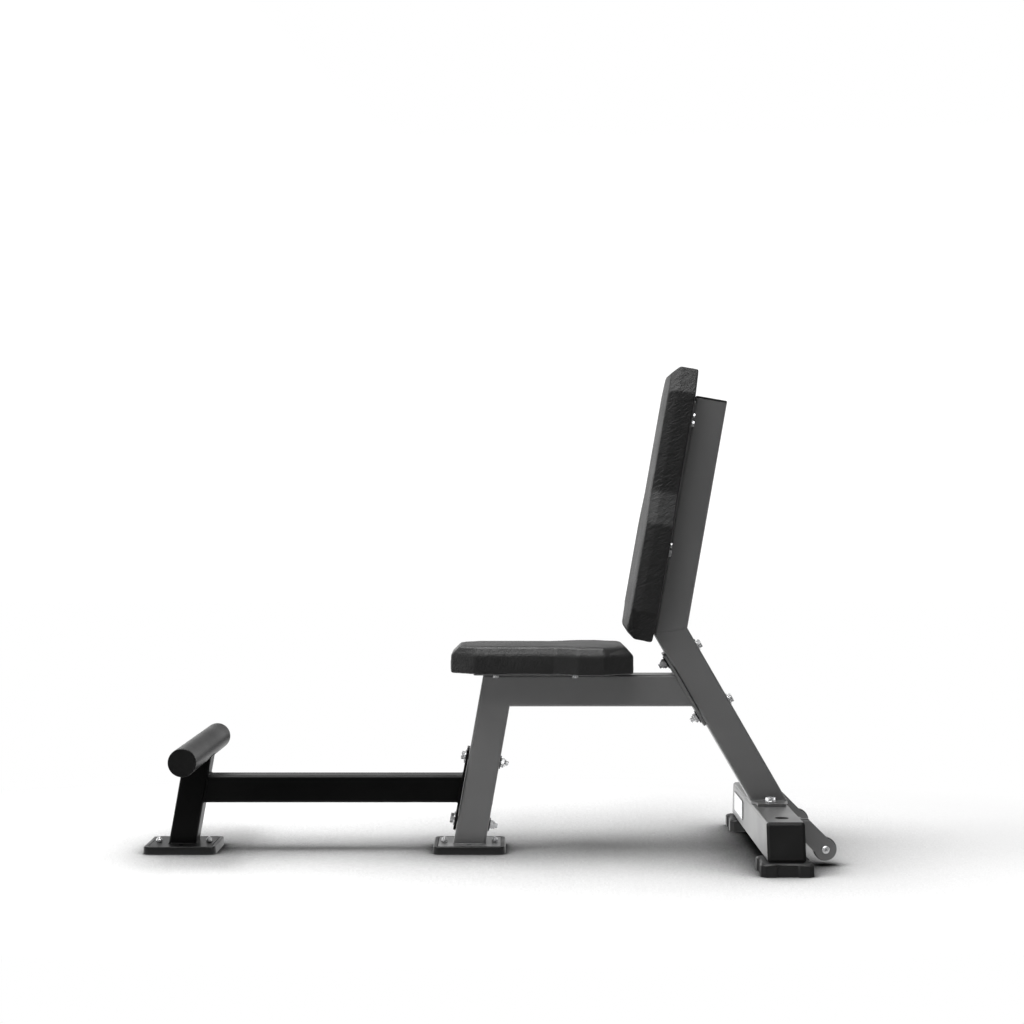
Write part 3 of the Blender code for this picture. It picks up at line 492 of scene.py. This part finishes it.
# Pads: foam on a plywood board under tight black vinyl, stapled at the back. Each is swollen as a cloth under
# pressure with its underside held, and that swell is laid on the solid's own facets, so that they crown
# while the seams between them stay crisp.
def add_facet_grain(tree, place, turn, ripple, relief):
    """Shallow creases of tight vinyl, drawn slantwise across the pad, over a fine pebble grain."""
    size = (ripple, 3 * ripple, 3 * ripple)
    across = add_node(tree, "ShaderNodeMapping", {"Vector": place, "Rotation": turn, "Scale": size},
                      vector_type="TEXTURE")
    creases = add_node(tree, "ShaderNodeTexNoise", {"Vector": across.outputs["Vector"], "Scale": 1.0,
                                                    "Detail": 2.0, "Distortion": 0.9})
    pebbles = add_node(tree, "ShaderNodeTexVoronoi", {"Vector": place, "Scale": 1 / 0.0018},
                       feature="SMOOTH_F1")
    both = add_node(tree, "ShaderNodeMath", {0: pebbles.outputs["Distance"], 1: 0.12,
                                             2: creases.outputs["Fac"]}, operation="MULTIPLY_ADD")
    return add_node(tree, "ShaderNodeBump", {"Height": both.outputs[0], "Strength": 0.8, "Distance": relief})


def vinyl_cover(name, turn, sheen, smooth, ripple, relief):
    """Black upholstery vinyl: a deep matt black whose leather grain catches the light at a low angle."""
    material, tree, shader, place = start_material(name, {"IOR": 1.5, "Specular IOR Level": sheen})
    add_tone(tree, shader, place, 0.08, "#161616", "#1C1C1C", smooth, smooth + 0.1)
    grain = add_facet_grain(tree, place, turn, ripple, relief)
    tree.links.new(grain.outputs["Normal"], shader.inputs["Normal"])
    return material


PAD_VOXEL, PAD_SHRINK, PAD_CAP, PAD_PRESSURE, PAD_FRAMES = 0.0038, 0.0006, 0.0011, 4.0, 20
PAD_BAND, BASE_DROP, FACING_DOWN, EDGE_TURN = 0.003, 0.00005, -0.9, radians(4)


def add_pad(node, board, tilt, cover):
    """Upholstered pad from a solid and the board in it, worked on in the pad's own upright frame."""
    upright = Matrix.Rotation(tilt, 4, "Y")
    both = bmesh.new()
    for part in (node, board):
        bm = merged_solid(part)
        bm.transform(upright.inverted())
        part_mesh = bpy.data.meshes.new(part)
        bm.to_mesh(part_mesh)
        bm.free()
        both.from_mesh(part_mesh)
        bpy.data.meshes.remove(part_mesh)
    maker = bpy.data.objects.new(node + "_foam", smooth_mesh(node, both))
    bpy.context.scene.collection.objects.link(maker)
    grid = maker.modifiers.new("grid", "REMESH")
    grid.mode, grid.voxel_size = "VOXEL", PAD_VOXEL
    mesh = finished_mesh(maker)
    under = min(v.co.z for v in mesh.vertices)
    base_level = under - BASE_DROP
    normals = [v.normal.copy() for v in mesh.vertices]
    free = [v.co.z > under + PAD_BAND for v in mesh.vertices]
    for vertex, normal, loose in zip(mesh.vertices, normals, free):
        if loose:
            vertex.co -= normal * PAD_SHRINK
        elif normal.z < FACING_DOWN:
            vertex.co.z = base_level
    rest = [v.co.copy() for v in mesh.vertices]
    swells = [0.0] * len(rest)
    skin = bpy.data.objects.new(node + "_skin", mesh)
    bpy.context.scene.collection.objects.link(skin)
    held = skin.vertex_groups.new(name="held")
    held.add([i for i, loose in enumerate(free) if not loose], 1.0, "REPLACE")
    cloth = skin.modifiers.new("stuffing", "CLOTH")
    cloth.settings.vertex_group_mass = "held"
    cloth.settings.use_pressure = True
    cloth.settings.uniform_pressure_force = PAD_PRESSURE
    cloth.settings.effector_weights.gravity = 0.0
    cloth.point_cache.frame_start, cloth.point_cache.frame_end = 1, PAD_FRAMES
    for step in range(1, PAD_FRAMES + 1):
        bpy.context.scene.frame_set(step)
    swollen = finished_mesh(skin)
    swells = [max(0.0, min((after.co - before).dot(normal), PAD_CAP))
              for after, before, normal in zip(swollen.vertices, rest, normals)]
    bpy.context.scene.frame_set(1)
    bpy.data.meshes.remove(swollen)
    mesh.attributes.new("swell", "FLOAT", "POINT").data.foreach_set("value", swells)
    underside = [float(not loose and normal.z < FACING_DOWN) for loose, normal in zip(free, normals)]
    mesh.attributes.new("underside", "FLOAT", "POINT").data.foreach_set("value", underside)
    smoother = bpy.data.objects.new(node + "_cover", mesh)
    bpy.context.scene.collection.objects.link(smoother)
    fine = smoother.modifiers.new("fine", "SUBSURF")
    fine.levels, fine.render_levels = 1, 1
    finished = finished_mesh(smoother)
    form = merged_solid(node)
    form.transform(upright.inverted())
    form.normal_update()
    surface = BVHTree.FromBMesh(form)
    form.free()
    held_back = [v.normal * (finished.attributes["swell"].data[i].value - PAD_SHRINK)
                 for i, v in enumerate(finished.vertices)]
    for i, vertex in enumerate(finished.vertices):
        if finished.attributes["underside"].data[i].value < 0.5:
            vertex.co = surface.find_nearest(vertex.co)[0] + held_back[i]
    for attribute in ("swell", "underside"):
        finished.attributes.remove(finished.attributes[attribute])
    facets = [upright.to_3x3() @ surface.find_nearest(polygon.center)[1] for polygon in finished.polygons]
    finished.transform(upright)
    finished.shade_smooth()
    soft = [v.normal.copy() for v in finished.vertices]
    finished.normals_split_custom_set([facet if soft[i].angle(facet) > EDGE_TURN else soft[i]
                                       for polygon, facet in zip(finished.polygons, facets)
                                       for i in polygon.vertices])
    piece = add_piece("upholstered_" + node, finished, cover, replaces=[node])


def add_board(node, tilt, material):
    """The plywood inside a pad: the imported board, drawn in a little so that the vinyl covers its edges."""
    upright = Matrix.Rotation(tilt, 4, "Y")
    bm = merged_solid(node)
    bm.transform(upright.inverted())
    lows, highs = ([fit(v.co[i] for v in bm.verts) for i in range(3)] for fit in (min, max))
    for v in bm.verts:
        for i, margin in ((0, BOARD_MARGIN), (1, BOARD_MARGIN), (2, BOARD_LIFT)):
            middle, half = (highs[i] + lows[i]) / 2, (highs[i] - lows[i]) / 2
            v.co[i] = middle + (v.co[i] - middle) * (1 - margin / half)
    bm.transform(upright)
    add_piece("plywood_" + node, smooth_mesh(node, bm), material, replaces=[node])


BOARD_MARGIN, BOARD_LIFT, BACK_TURN = 0.009, 0.0006, radians(-80)
# Birch plywood, pale tan with a streaky grain along the pad and darker glue lines in its edge
plywood, tree, shader, place = start_material("birch_plywood", {"Roughness": 0.7})
streaks = add_node(tree, "ShaderNodeMapping", {"Vector": place, "Scale": (12, 220, 400)})
veneer = add_node(tree, "ShaderNodeTexNoise", {"Vector": streaks.outputs["Vector"], "Scale": 1.0,
                                               "Detail": 4.0})
stain = add_node(tree, "ShaderNodeMix", {"Factor": veneer.outputs["Fac"], "A": linear("#A88555"),
                                         "B": linear("#C9A877")}, data_type="RGBA")
tree.links.new(stain.outputs["Result"], shader.inputs["Base Color"])
add_board("seat_board", 0.0, plywood)
add_board("back_board", BACK_TURN, plywood)
# Black vinyl pulled tight, a soft sheen on the seat and a duller, more creased skin on the back
seat_vinyl = vinyl_cover("seat_vinyl", (0, radians(20), 0), 0.6, 0.46, 0.0045, 0.0012)
back_vinyl = vinyl_cover("back_vinyl", (0, radians(60), 0), 0.26, 0.53, 0.005, 0.0028)
add_pad("seat_pad", "seat_board", 0.0, seat_vinyl)
add_pad("back_pad", "back_board", BACK_TURN, back_vinyl)


# Bolts, washers and nuts: turned and forged steel, bright zinc plated, with black oxide washers under the
# nuts. Each kind is a small lathe mesh in millimetres, set on its places by one node tree with a random turn.
LATHE_SIDES, MM = 48, 0.001
# Shares of a hexagon's width across flats and of a head's height, and of a thread's pitch
BEARING, LOCK_NUT, THREAD_DEPTH, CONE = 0.47, 1.4, 0.6, tan(radians(30))


def hexagon(flats):
    """Distance from a hexagon's middle to its side, by angle."""
    return lambda angle: flats / 2 / cos((angle + pi / 6) % (pi / 3) - pi / 6)


def at(given, angle):
    """A length that may depend on the angle round a lathe mesh."""
    return given(angle) if callable(given) else given


def lathe(name, profile, ring=False):
    """Closed solid from rings of (reach, height), either of which may depend on the angle."""
    bm = bmesh.new()
    angles = [2 * pi * i / LATHE_SIDES for i in range(LATHE_SIDES)]
    rings = [[bm.verts.new(Vector((at(reach, a) * cos(a), at(reach, a) * sin(a), at(height, a))) * MM)
              for a in angles] for reach, height in profile]
    for low, high in zip(rings, rings[1:] + rings[:1] * ring):
        for i in range(LATHE_SIDES):
            j = (i + 1) % LATHE_SIDES
            bm.faces.new((low[i], low[j], high[j], high[i]))
    if not ring:
        bm.faces.new(rings[0][::-1])
        bm.faces.new(rings[-1])
    bmesh.ops.recalc_face_normals(bm, faces=bm.faces)
    return smooth_mesh(name, bm, 28)


def chamfered(flats, height, rise):
    """Hexagon's corners cut by a 30 degree cone; its reach and height by angle, then the flat's edge."""
    reach, inner = hexagon(flats), flats * BEARING
    return [(reach, lambda a: height - rise * (reach(a) - inner) * CONE), (inner, height)]


def thread(radius, pitch, low, high):
    """Rings of a screw thread, four to a turn."""
    depth, turns = THREAD_DEPTH * pitch, int((high - low) / pitch * 4)
    return [(lambda a, z=low + i * pitch / 4: radius - depth * abs(2 * ((z / pitch + a / 2 / pi) % 1) - 1),
             low + i * pitch / 4) for i in range(turns + 1)]


def bolt_mesh(name, size, length):
    """Hexagon bolt with its head upwards and the seat of the head at zero."""
    radius, flats, head, pitch = size
    tip = [(radius - 1.6, -length), (radius - 1.0, -length + 0.3)]
    seat = flats * BEARING
    shank = [(radius, -length + 18), (radius, 0), (seat, 0), (seat, 0.5), (hexagon(flats), 0.5)]
    turns = thread(radius, pitch, -length + 1, -length + 16)
    return lathe(name, tip + turns + shank + chamfered(flats, head, 1))


def nut_mesh(name, size):
    """Lock nut with a rolled collar, its seat at zero."""
    radius, flats, head, pitch = size
    body, top, collar, seat = head * 0.95, head * LOCK_NUT, flats * 0.44, flats * BEARING
    low = [(radius, 0.6), (radius + 0.7, 0), (seat, 0)]
    low += [(hexagon(flats), lambda a: (hexagon(flats)(a) - seat) * CONE)]
    high = [(collar, body + 0.3), (collar, top - 1.2), (collar - 0.4, top - 0.4), (collar - 1.2, top),
            (radius + 1.0, top), (radius + 0.9, top - 0.8), (radius, top - 0.8)]
    return lathe(name, low + chamfered(flats, body, 1) + high, True)


def washer_mesh(name, bore, outer, thick):
    """Flat washer with broken edges, lying on zero."""
    return lathe(name, [(bore, 0.3), (bore + 0.3, 0), (outer - 0.4, 0), (outer, 0.4), (outer, thick - 0.4),
                        (outer - 0.4, thick), (bore + 0.3, thick), (bore, thick - 0.3)], True)


spread_tree, given, end, spread_names = node_group(
    "fasteners", {"Fastener": "Object", "Turn": "Float", "Seed": "Int", "Finish": "Material"})
shape = add_node(spread_tree, "GeometryNodeObjectInfo", {"Object": given["Fastener"]})
outward = add_node(spread_tree, "GeometryNodeInputNamedAttribute", {"Name": "outward"},
                   data_type="FLOAT_VECTOR")
aligned = add_node(spread_tree, "FunctionNodeAlignRotationToVector", {"Vector": outward.outputs["Attribute"]},
                   axis="Z")
along = add_node(spread_tree, "GeometryNodeInputNamedAttribute", {"Name": "along"}, data_type="FLOAT_VECTOR")
lined_up = add_node(spread_tree, "FunctionNodeAlignRotationToVector", {
    "Rotation": aligned.outputs["Rotation"], "Vector": along.outputs["Attribute"]}, axis="X", pivot_axis="Z")
angle = add_node(spread_tree, "FunctionNodeRandomValue", {2: 0.0, 3: given["Turn"], "Seed": given["Seed"]},
                 data_type="FLOAT")
spin = add_node(spread_tree, "FunctionNodeAxisAngleToRotation", {"Axis": (0, 0, 1), "Angle": angle.outputs[1]})
turned = add_node(spread_tree, "FunctionNodeRotateRotation", {"Rotation": lined_up.outputs["Rotation"],
                                                              "Rotate By": spin.outputs["Rotation"]},
                  rotation_space="LOCAL")
placed = add_node(spread_tree, "GeometryNodeInstanceOnPoints", {
    "Points": given["Geometry"], "Instance": shape.outputs["Geometry"],
    "Rotation": turned.outputs["Rotation"]})
finish_tree(spread_tree, end, placed.outputs["Instances"], given["Finish"])


def spread(name, shape_mesh, material, places, replaced=(), seed=1, turn=pi / 3, body="frame"):
    """Set a fastener's shape on its places: each is a point, the direction it faces and any it lies along."""
    points = bpy.data.meshes.new(name + "_places")
    points.from_pydata([place[0] for place in places], [], [])
    for kind, column in (("outward", 1), ("along", 2)):
        directions = points.attributes.new(kind, "FLOAT_VECTOR", "POINT")
        for i, place in enumerate(places):
            directions.data[i].vector = place[column] if len(place) > column else (0, 0, 0)
    model = bpy.data.objects.new(name + "_shape", shape_mesh)
    bpy.context.scene.collection.objects.link(model)
    values = {"Fastener": model, "Turn": turn, "Seed": seed, "Finish": material}
    mesh = run_nodes(name, points, spread_tree, spread_names, values)
    bpy.data.objects.remove(model)
    return add_piece(name, mesh, material, body, replaced)


def axis_of(node, axis):
    """A fastener's two ends on its own axis, from the corners of its solid."""
    axis = Vector(axis).normalized()
    corners = {tuple(round(c, 6) for c in v.co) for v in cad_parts[node].data.vertices}
    middle = sum((Vector(c) for c in corners), Vector()) / len(corners)
    along = [Vector(c).dot(axis) for c in corners]
    foot = middle - axis * middle.dot(axis)
    return foot + axis * min(along), foot + axis * max(along), axis


# Bright zinc plate, silvery with a faint blue cast where it mirrors the cove
zinc, tree, shader, place = start_material("bright_zinc_plate", {"Metallic": 0.65})
add_tone(tree, shader, place, 0.008, "#ECEDEF", "#F8F8F8", 0.15, 0.24)
swirl = add_node(tree, "ShaderNodeTexNoise", {"Vector": place, "Scale": 1 / 0.0009, "Detail": 2.0})
bump = add_node(tree, "ShaderNodeBump", {"Height": swirl.outputs["Fac"], "Strength": 0.3, "Distance": 0.00003})
tree.links.new(bump.outputs["Normal"], shader.inputs["Normal"])
# Black oxide steel of the washers under the nuts, a soft charcoal with a dull shine
black_oxide, tree, shader, place = start_material("black_oxide_steel", {"Metallic": 1.0})
add_tone(tree, shader, place, 0.01, "#3A3A3B", "#484849", 0.38, 0.5)
# Natural nylon of the locking rings, milky and slightly waxy
nylon = moulded("natural_nylon", "#CFCDC4", "#DAD8D0", 0.35, 0.45, 0.0012, 0.00005)

M12, M8 = (6.0, 19.0, 8.0, 1.75), (4.0, 13.0, 5.3, 1.25)
REAR_JOINT, DOWN, REARWARD = (-cos(RAKE), 0, -sin(RAKE)), (0, 0, -1), (-cos(LEAN), 0, sin(LEAN))
# Name, size, washer's reach, length of thread past the nut, seed, and each bolt's node with its direction
BOLT_SETS = [
    ("joint_bolts", M12, 15.0, 6.0, 11, [
        ("front_joint_bolt_lower", LEG_FACE), ("front_joint_bolt_upper", LEG_FACE),
        ("rear_joint_bolt_lower", REAR_JOINT), ("rear_joint_bolt_upper", REAR_JOINT)]),
    ("base_bolts", M12, 12.0, 2.0, 5, [("base_bolt_left", DOWN), ("base_bolt_right", DOWN)]),
    ("foot_screws", M8, None, 3.0, 8, [
        ("front_foot_screw_front", UP), ("front_foot_screw_rear", UP),
        ("middle_foot_screw_front", UP), ("middle_foot_screw_rear", UP)]),
    ("seat_bolts", M8, None, None, 3, [("seat_bolt_%d" % i, UP) for i in (1, 2, 3, 4)]),
    ("back_bolts", M8, None, None, 9, [("back_bolt_%d" % i, REARWARD) for i in (1, 2, 3, 4)])]
WASHER_THICK, LOCKING_RING = 2.5, 2.0
for name, size, washer, stub, seed, bolts in BOLT_SETS:
    radius, flats, head, pitch = size
    ends = [axis_of(node, axis) for node, axis in bolts]
    nodes = [node for node, axis in bolts]
    length = (ends[0][1] - ends[0][0]).length / MM - head
    heads = [(low + axis * head * MM, -axis) for low, high, axis in ends]
    spread(name, bolt_mesh(name, size, length), zinc, heads, nodes, seed)
    if washer:
        spread(name + "_washers", washer_mesh("washer", radius + 0.5, washer, WASHER_THICK), zinc,
               [(point, -facing) for point, facing in heads], nodes)
    if stub:
        seats = [(high - axis * (stub + LOCK_NUT * head) * MM, axis) for low, high, axis in ends]
        spread(name + "_nuts", nut_mesh(name + "_nuts", size), zinc, seats, nodes, seed + 1)
        locking = lathe("locking_ring", [(radius - 0.1, 0), (radius + 0.8, 0), (radius + 0.8, 1.2),
                                         (radius - 0.1, 1.4)], True)
        crowns = [(seat + axis * (LOCK_NUT * head - LOCKING_RING) * MM, axis) for seat, axis in seats]
        spread(name + "_locking_rings", locking, nylon, crowns, nodes)
        if washer:
            spread(name + "_nut_washers", washer_mesh("nut_washer", radius + 0.5, washer, WASHER_THICK),
                   black_oxide, [(seat, -axis) for seat, axis in seats], nodes)


# Small hexagon wood screws beside the back bolts: bright zinc, driven through the plate into the plywood, a
# little higher than each bolt.
WOOD_SCREW, WOOD_SCREW_LENGTH, WOOD_SCREW_RISE = (2.4, 10.0, 4.0, 1.2), 20, 0.017
post_up = Vector((sin(LEAN), 0, cos(LEAN)))
screw_places = []
for i in (1, 2, 3, 4):
    low, high, axis = axis_of("back_bolt_%d" % i, REARWARD)
    screw_places.append((low + axis * M8[2] * MM + post_up * WOOD_SCREW_RISE, -axis))
wood_screw = bolt_mesh("wood_screw", WOOD_SCREW, WOOD_SCREW_LENGTH)
spread("wood_screws", wood_screw, zinc, screw_places, seed=4)

# Wheel axles: bright zinc button head screws with a hexagon socket, each with a lock nut behind its inner
# fork plate. The bushes they clamp and the screws of the rear feet have the same plating.
NUT_HEIGHT, NUT_STUB = 8.0, 3.0
M10_NUT, SOCKET, DOME = (5.0, 16.0, NUT_HEIGHT / LOCK_NUT, 1.5), 6.0, 4.5
for side, inward in (("left", 1), ("right", -1)):
    node = "axle_bolt_" + side
    low, high, axis = axis_of(node, (0, inward, 0))
    length = (high - low).length / MM - DOME
    button = [(3.6, -length), (4.4, -length + 0.8)] + thread(5.0, 1.5, -length + 1, -length + 16)
    button += [(5.0, -length + 18), (5.0, 0), (8.5, 0), (8.5, 0.7), (8.1, 2.3), (7.0, 3.7), (5.4, DOME),
               (3.9, DOME), (hexagon(SOCKET), DOME - 0.3), (hexagon(SOCKET), -1.5)]
    crown = low + axis * DOME * MM
    spread(node + "_screw", lathe(node, button), zinc, [(crown, -axis)], [node], 2)
    seat = high - axis * (NUT_STUB + NUT_HEIGHT) * MM
    spread(node + "_nut", nut_mesh(node + "_nut", M10_NUT), zinc, [(seat, axis)], [node], 6)
    dress("wheel_bush_" + side, zinc, 0.0004)
    dress("rear_foot_screw_" + side, zinc, 0.0004)

# Transport wheels: solid polyurethane, turned with a rounded tread and a sunk web, one in each fork
# Black polyurethane, smooth and a little shinier than the rubber feet
wheel_rubber = moulded("black_polyurethane", "#101010", "#171717", 0.3, 0.4, 0.0012, 0.00008)
# One side of the wheel's outline from its bore to its tread: reach and height in millimetres
wheel_side = [(7.1, -10.6), (7.5, -11.0), (11.0, -11.0), (12.0, -9.4), (19.0, -9.4), (20.2, -11.0),
              (22.0, -11.0), (24.0, -10.1), (24.8, -8.4), (25.0, -6.0)]
profile = wheel_side + [(25.0, 0)] + [(reach, -height) for reach, height in reversed(wheel_side)]
for side in ("left", "right"):
    node = "wheel_" + side
    centre = (Vector(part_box(node)[0]) + Vector(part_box(node)[1])) / 2
    spread("turned_" + node, lathe(node, profile, True), wheel_rubber, [(centre, (0, -1, 0))],
           [node], turn=0.0, body=node)

# Badge plate: a bare aluminium plate stuck on the stabiliser's front face, with a dark band painted round its
# edge as painted shade along its rim
# Brushed aluminium, pale silver with long fine strokes
BADGE_MIDDLE, BADGE_HALF, BADGE_CORNER = (0, 0.185, 0.0688), (1.0, 0.0734, 0.0166), 0.004
badge, tree, shader, place = start_material("brushed_aluminium", {"Metallic": 1.0})
brushed = add_node(tree, "ShaderNodeMapping", {"Vector": place, "Scale": (900, 30, 900)})
strokes = add_node(tree, "ShaderNodeTexNoise", {"Vector": brushed.outputs["Vector"], "Scale": 1.0,
                                                "Detail": 3.0})
silver = add_node(tree, "ShaderNodeMix", {"Factor": strokes.outputs["Fac"], "A": linear("#B4B5B7"),
                                          "B": linear("#CFCFD0")}, data_type="RGBA")
spot = place
for operation, amount in (("SUBTRACT", BADGE_MIDDLE), ("ABSOLUTE", None), ("SUBTRACT", BADGE_HALF),
                          ("MAXIMUM", (0, 0, 0)), ("LENGTH", None)):
    operands = {0: spot, 1: amount} if amount else {0: spot}
    step = add_node(tree, "ShaderNodeVectorMath", operands, operation=operation)
    spot = step.outputs["Value" if operation == "LENGTH" else "Vector"]
# Painted shade: outside a rounded rectangle the badge is painted near-black, a band round its edge that stands
# for the shade along the plate's rim.
line = add_node(tree, "ShaderNodeMath", {0: spot, 1: BADGE_CORNER}, operation="GREATER_THAN")
edge_shaded_silver = add_node(tree, "ShaderNodeMix", {"Factor": line.outputs[0], "A": silver.outputs["Result"],
                                          "B": linear("#1C1C1D")}, data_type="RGBA")
gloss = add_node(tree, "ShaderNodeMapRange", {"Value": strokes.outputs["Fac"], "To Min": 0.2, "To Max": 0.34})
tree.links.new(edge_shaded_silver.outputs["Result"], shader.inputs["Base Color"])
tree.links.new(gloss.outputs["Result"], shader.inputs["Roughness"])
dress("badge_plate", badge, 0.0003)

# Dust cloths: thin spun cloth cut to the board's outline and stapled over the underside of each pad, with a
# row of wire staples round its edge.
# Black spun cloth, dead matt with a faint speckle of fibres
felt, tree, shader, place = start_material("black_spun_cloth", {"Roughness": 0.95, "Specular IOR Level": 0.15})
fibres = add_node(tree, "ShaderNodeTexNoise", {"Vector": place, "Scale": 1 / 0.0016, "Detail": 4.0,
                                               "Distortion": 1.5})
lint = add_node(tree, "ShaderNodeMix", {"Factor": fibres.outputs["Fac"], "A": linear("#0E0E0E"),
                                        "B": linear("#1D1D1D")}, data_type="RGBA")
nap = add_node(tree, "ShaderNodeBump", {"Height": fibres.outputs["Fac"], "Strength": 0.7, "Distance": 0.0002})
tree.links.new(lint.outputs["Result"], shader.inputs["Base Color"])
tree.links.new(nap.outputs["Normal"], shader.inputs["Normal"])
CLOTH_THICK, CLOTH_DROP, CLOTH_MARGIN, RIM_REACH = 0.00015, 0.00010, 0.012, 0.08
STAPLE_MARGIN, STAPLE_STEP, STAPLE_SIZE, STAPLE_EDGE = 0.021, 0.028, (0.0105, 0.0011, 0.0005), 0.00018


def drawn_in(rim, middle, half, margin, height):
    """An outline drawn in by a margin, at a height."""
    return [Vector([middle[i] + (c[i] - middle[i]) * (1 - margin / half[i]) for i in (0, 1)] + [height])
            for c in rim]


def add_dust_cloth(node, pad, tilt):
    """Flat cloth cut to the board's outline, held by a row of wire staples round its edge."""
    upright = Matrix.Rotation(tilt, 4, "Y")
    corners = [upright.inverted() @ v.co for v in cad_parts[node].data.vertices]
    under = min(corner.z for corner in corners)
    outline = {(round(c.x, 5), round(c.y, 5)) for c in corners if c.z < under + 0.0002}
    middle = Vector([(min(c[i] for c in outline) + max(c[i] for c in outline)) / 2 for i in (0, 1)])
    half = [max(c[i] for c in outline) - middle[i] for i in (0, 1)]
    reach = {c: (Vector(c) - middle).length for c in outline}
    rim = sorted((c for c in outline if reach[c] > RIM_REACH),
                 key=lambda c: atan2(c[1] - middle[1], c[0] - middle[0]))
    bottom = under - CLOTH_DROP - CLOTH_THICK
    bm = bmesh.new()
    sheet_face = bm.faces.new([bm.verts.new(c) for c in drawn_in(rim, middle, half, CLOTH_MARGIN, bottom)])
    flat_area = sheet_face.calc_area()
    grown = bmesh.ops.extrude_face_region(bm, geom=[sheet_face])
    for v in (v for v in grown["geom"] if isinstance(v, bmesh.types.BMVert)):
        v.co.z += CLOTH_THICK
    bmesh.ops.recalc_face_normals(bm, faces=bm.faces)
    bm.transform(upright)
    cloth = add_piece(pad + "_dust_cloth", smooth_mesh(node + "_cloth", bm), felt)
    places, path = [], drawn_in(rim, middle, half, STAPLE_MARGIN, bottom)
    down = upright.to_3x3() @ Vector((0, 0, -1))
    for start, stop in zip(path, path[1:] + path[:1]):
        count = int((stop - start).length / STAPLE_STEP)
        for i in range(count):
            point = start.lerp(stop, (i + 0.5) / count)
            places.append((upright @ point, down, upright.to_3x3() @ (stop - start)))
    bm = bmesh.new()
    bmesh.ops.create_cube(bm, size=1.0)
    for v in bm.verts:
        v.co = Vector((v.co.x * STAPLE_SIZE[0], v.co.y * STAPLE_SIZE[1], (v.co.z + 0.5) * STAPLE_SIZE[2]))
    bmesh.ops.bevel(bm, geom=bm.edges[:], offset=STAPLE_EDGE, segments=1, affect="EDGES")
    spread(pad + "_staples", smooth_mesh("staple", bm), zinc, places, turn=0.25)


add_dust_cloth("seat_board", "seat_pad", 0.0)
add_dust_cloth("back_board", "back_pad", BACK_TURN)
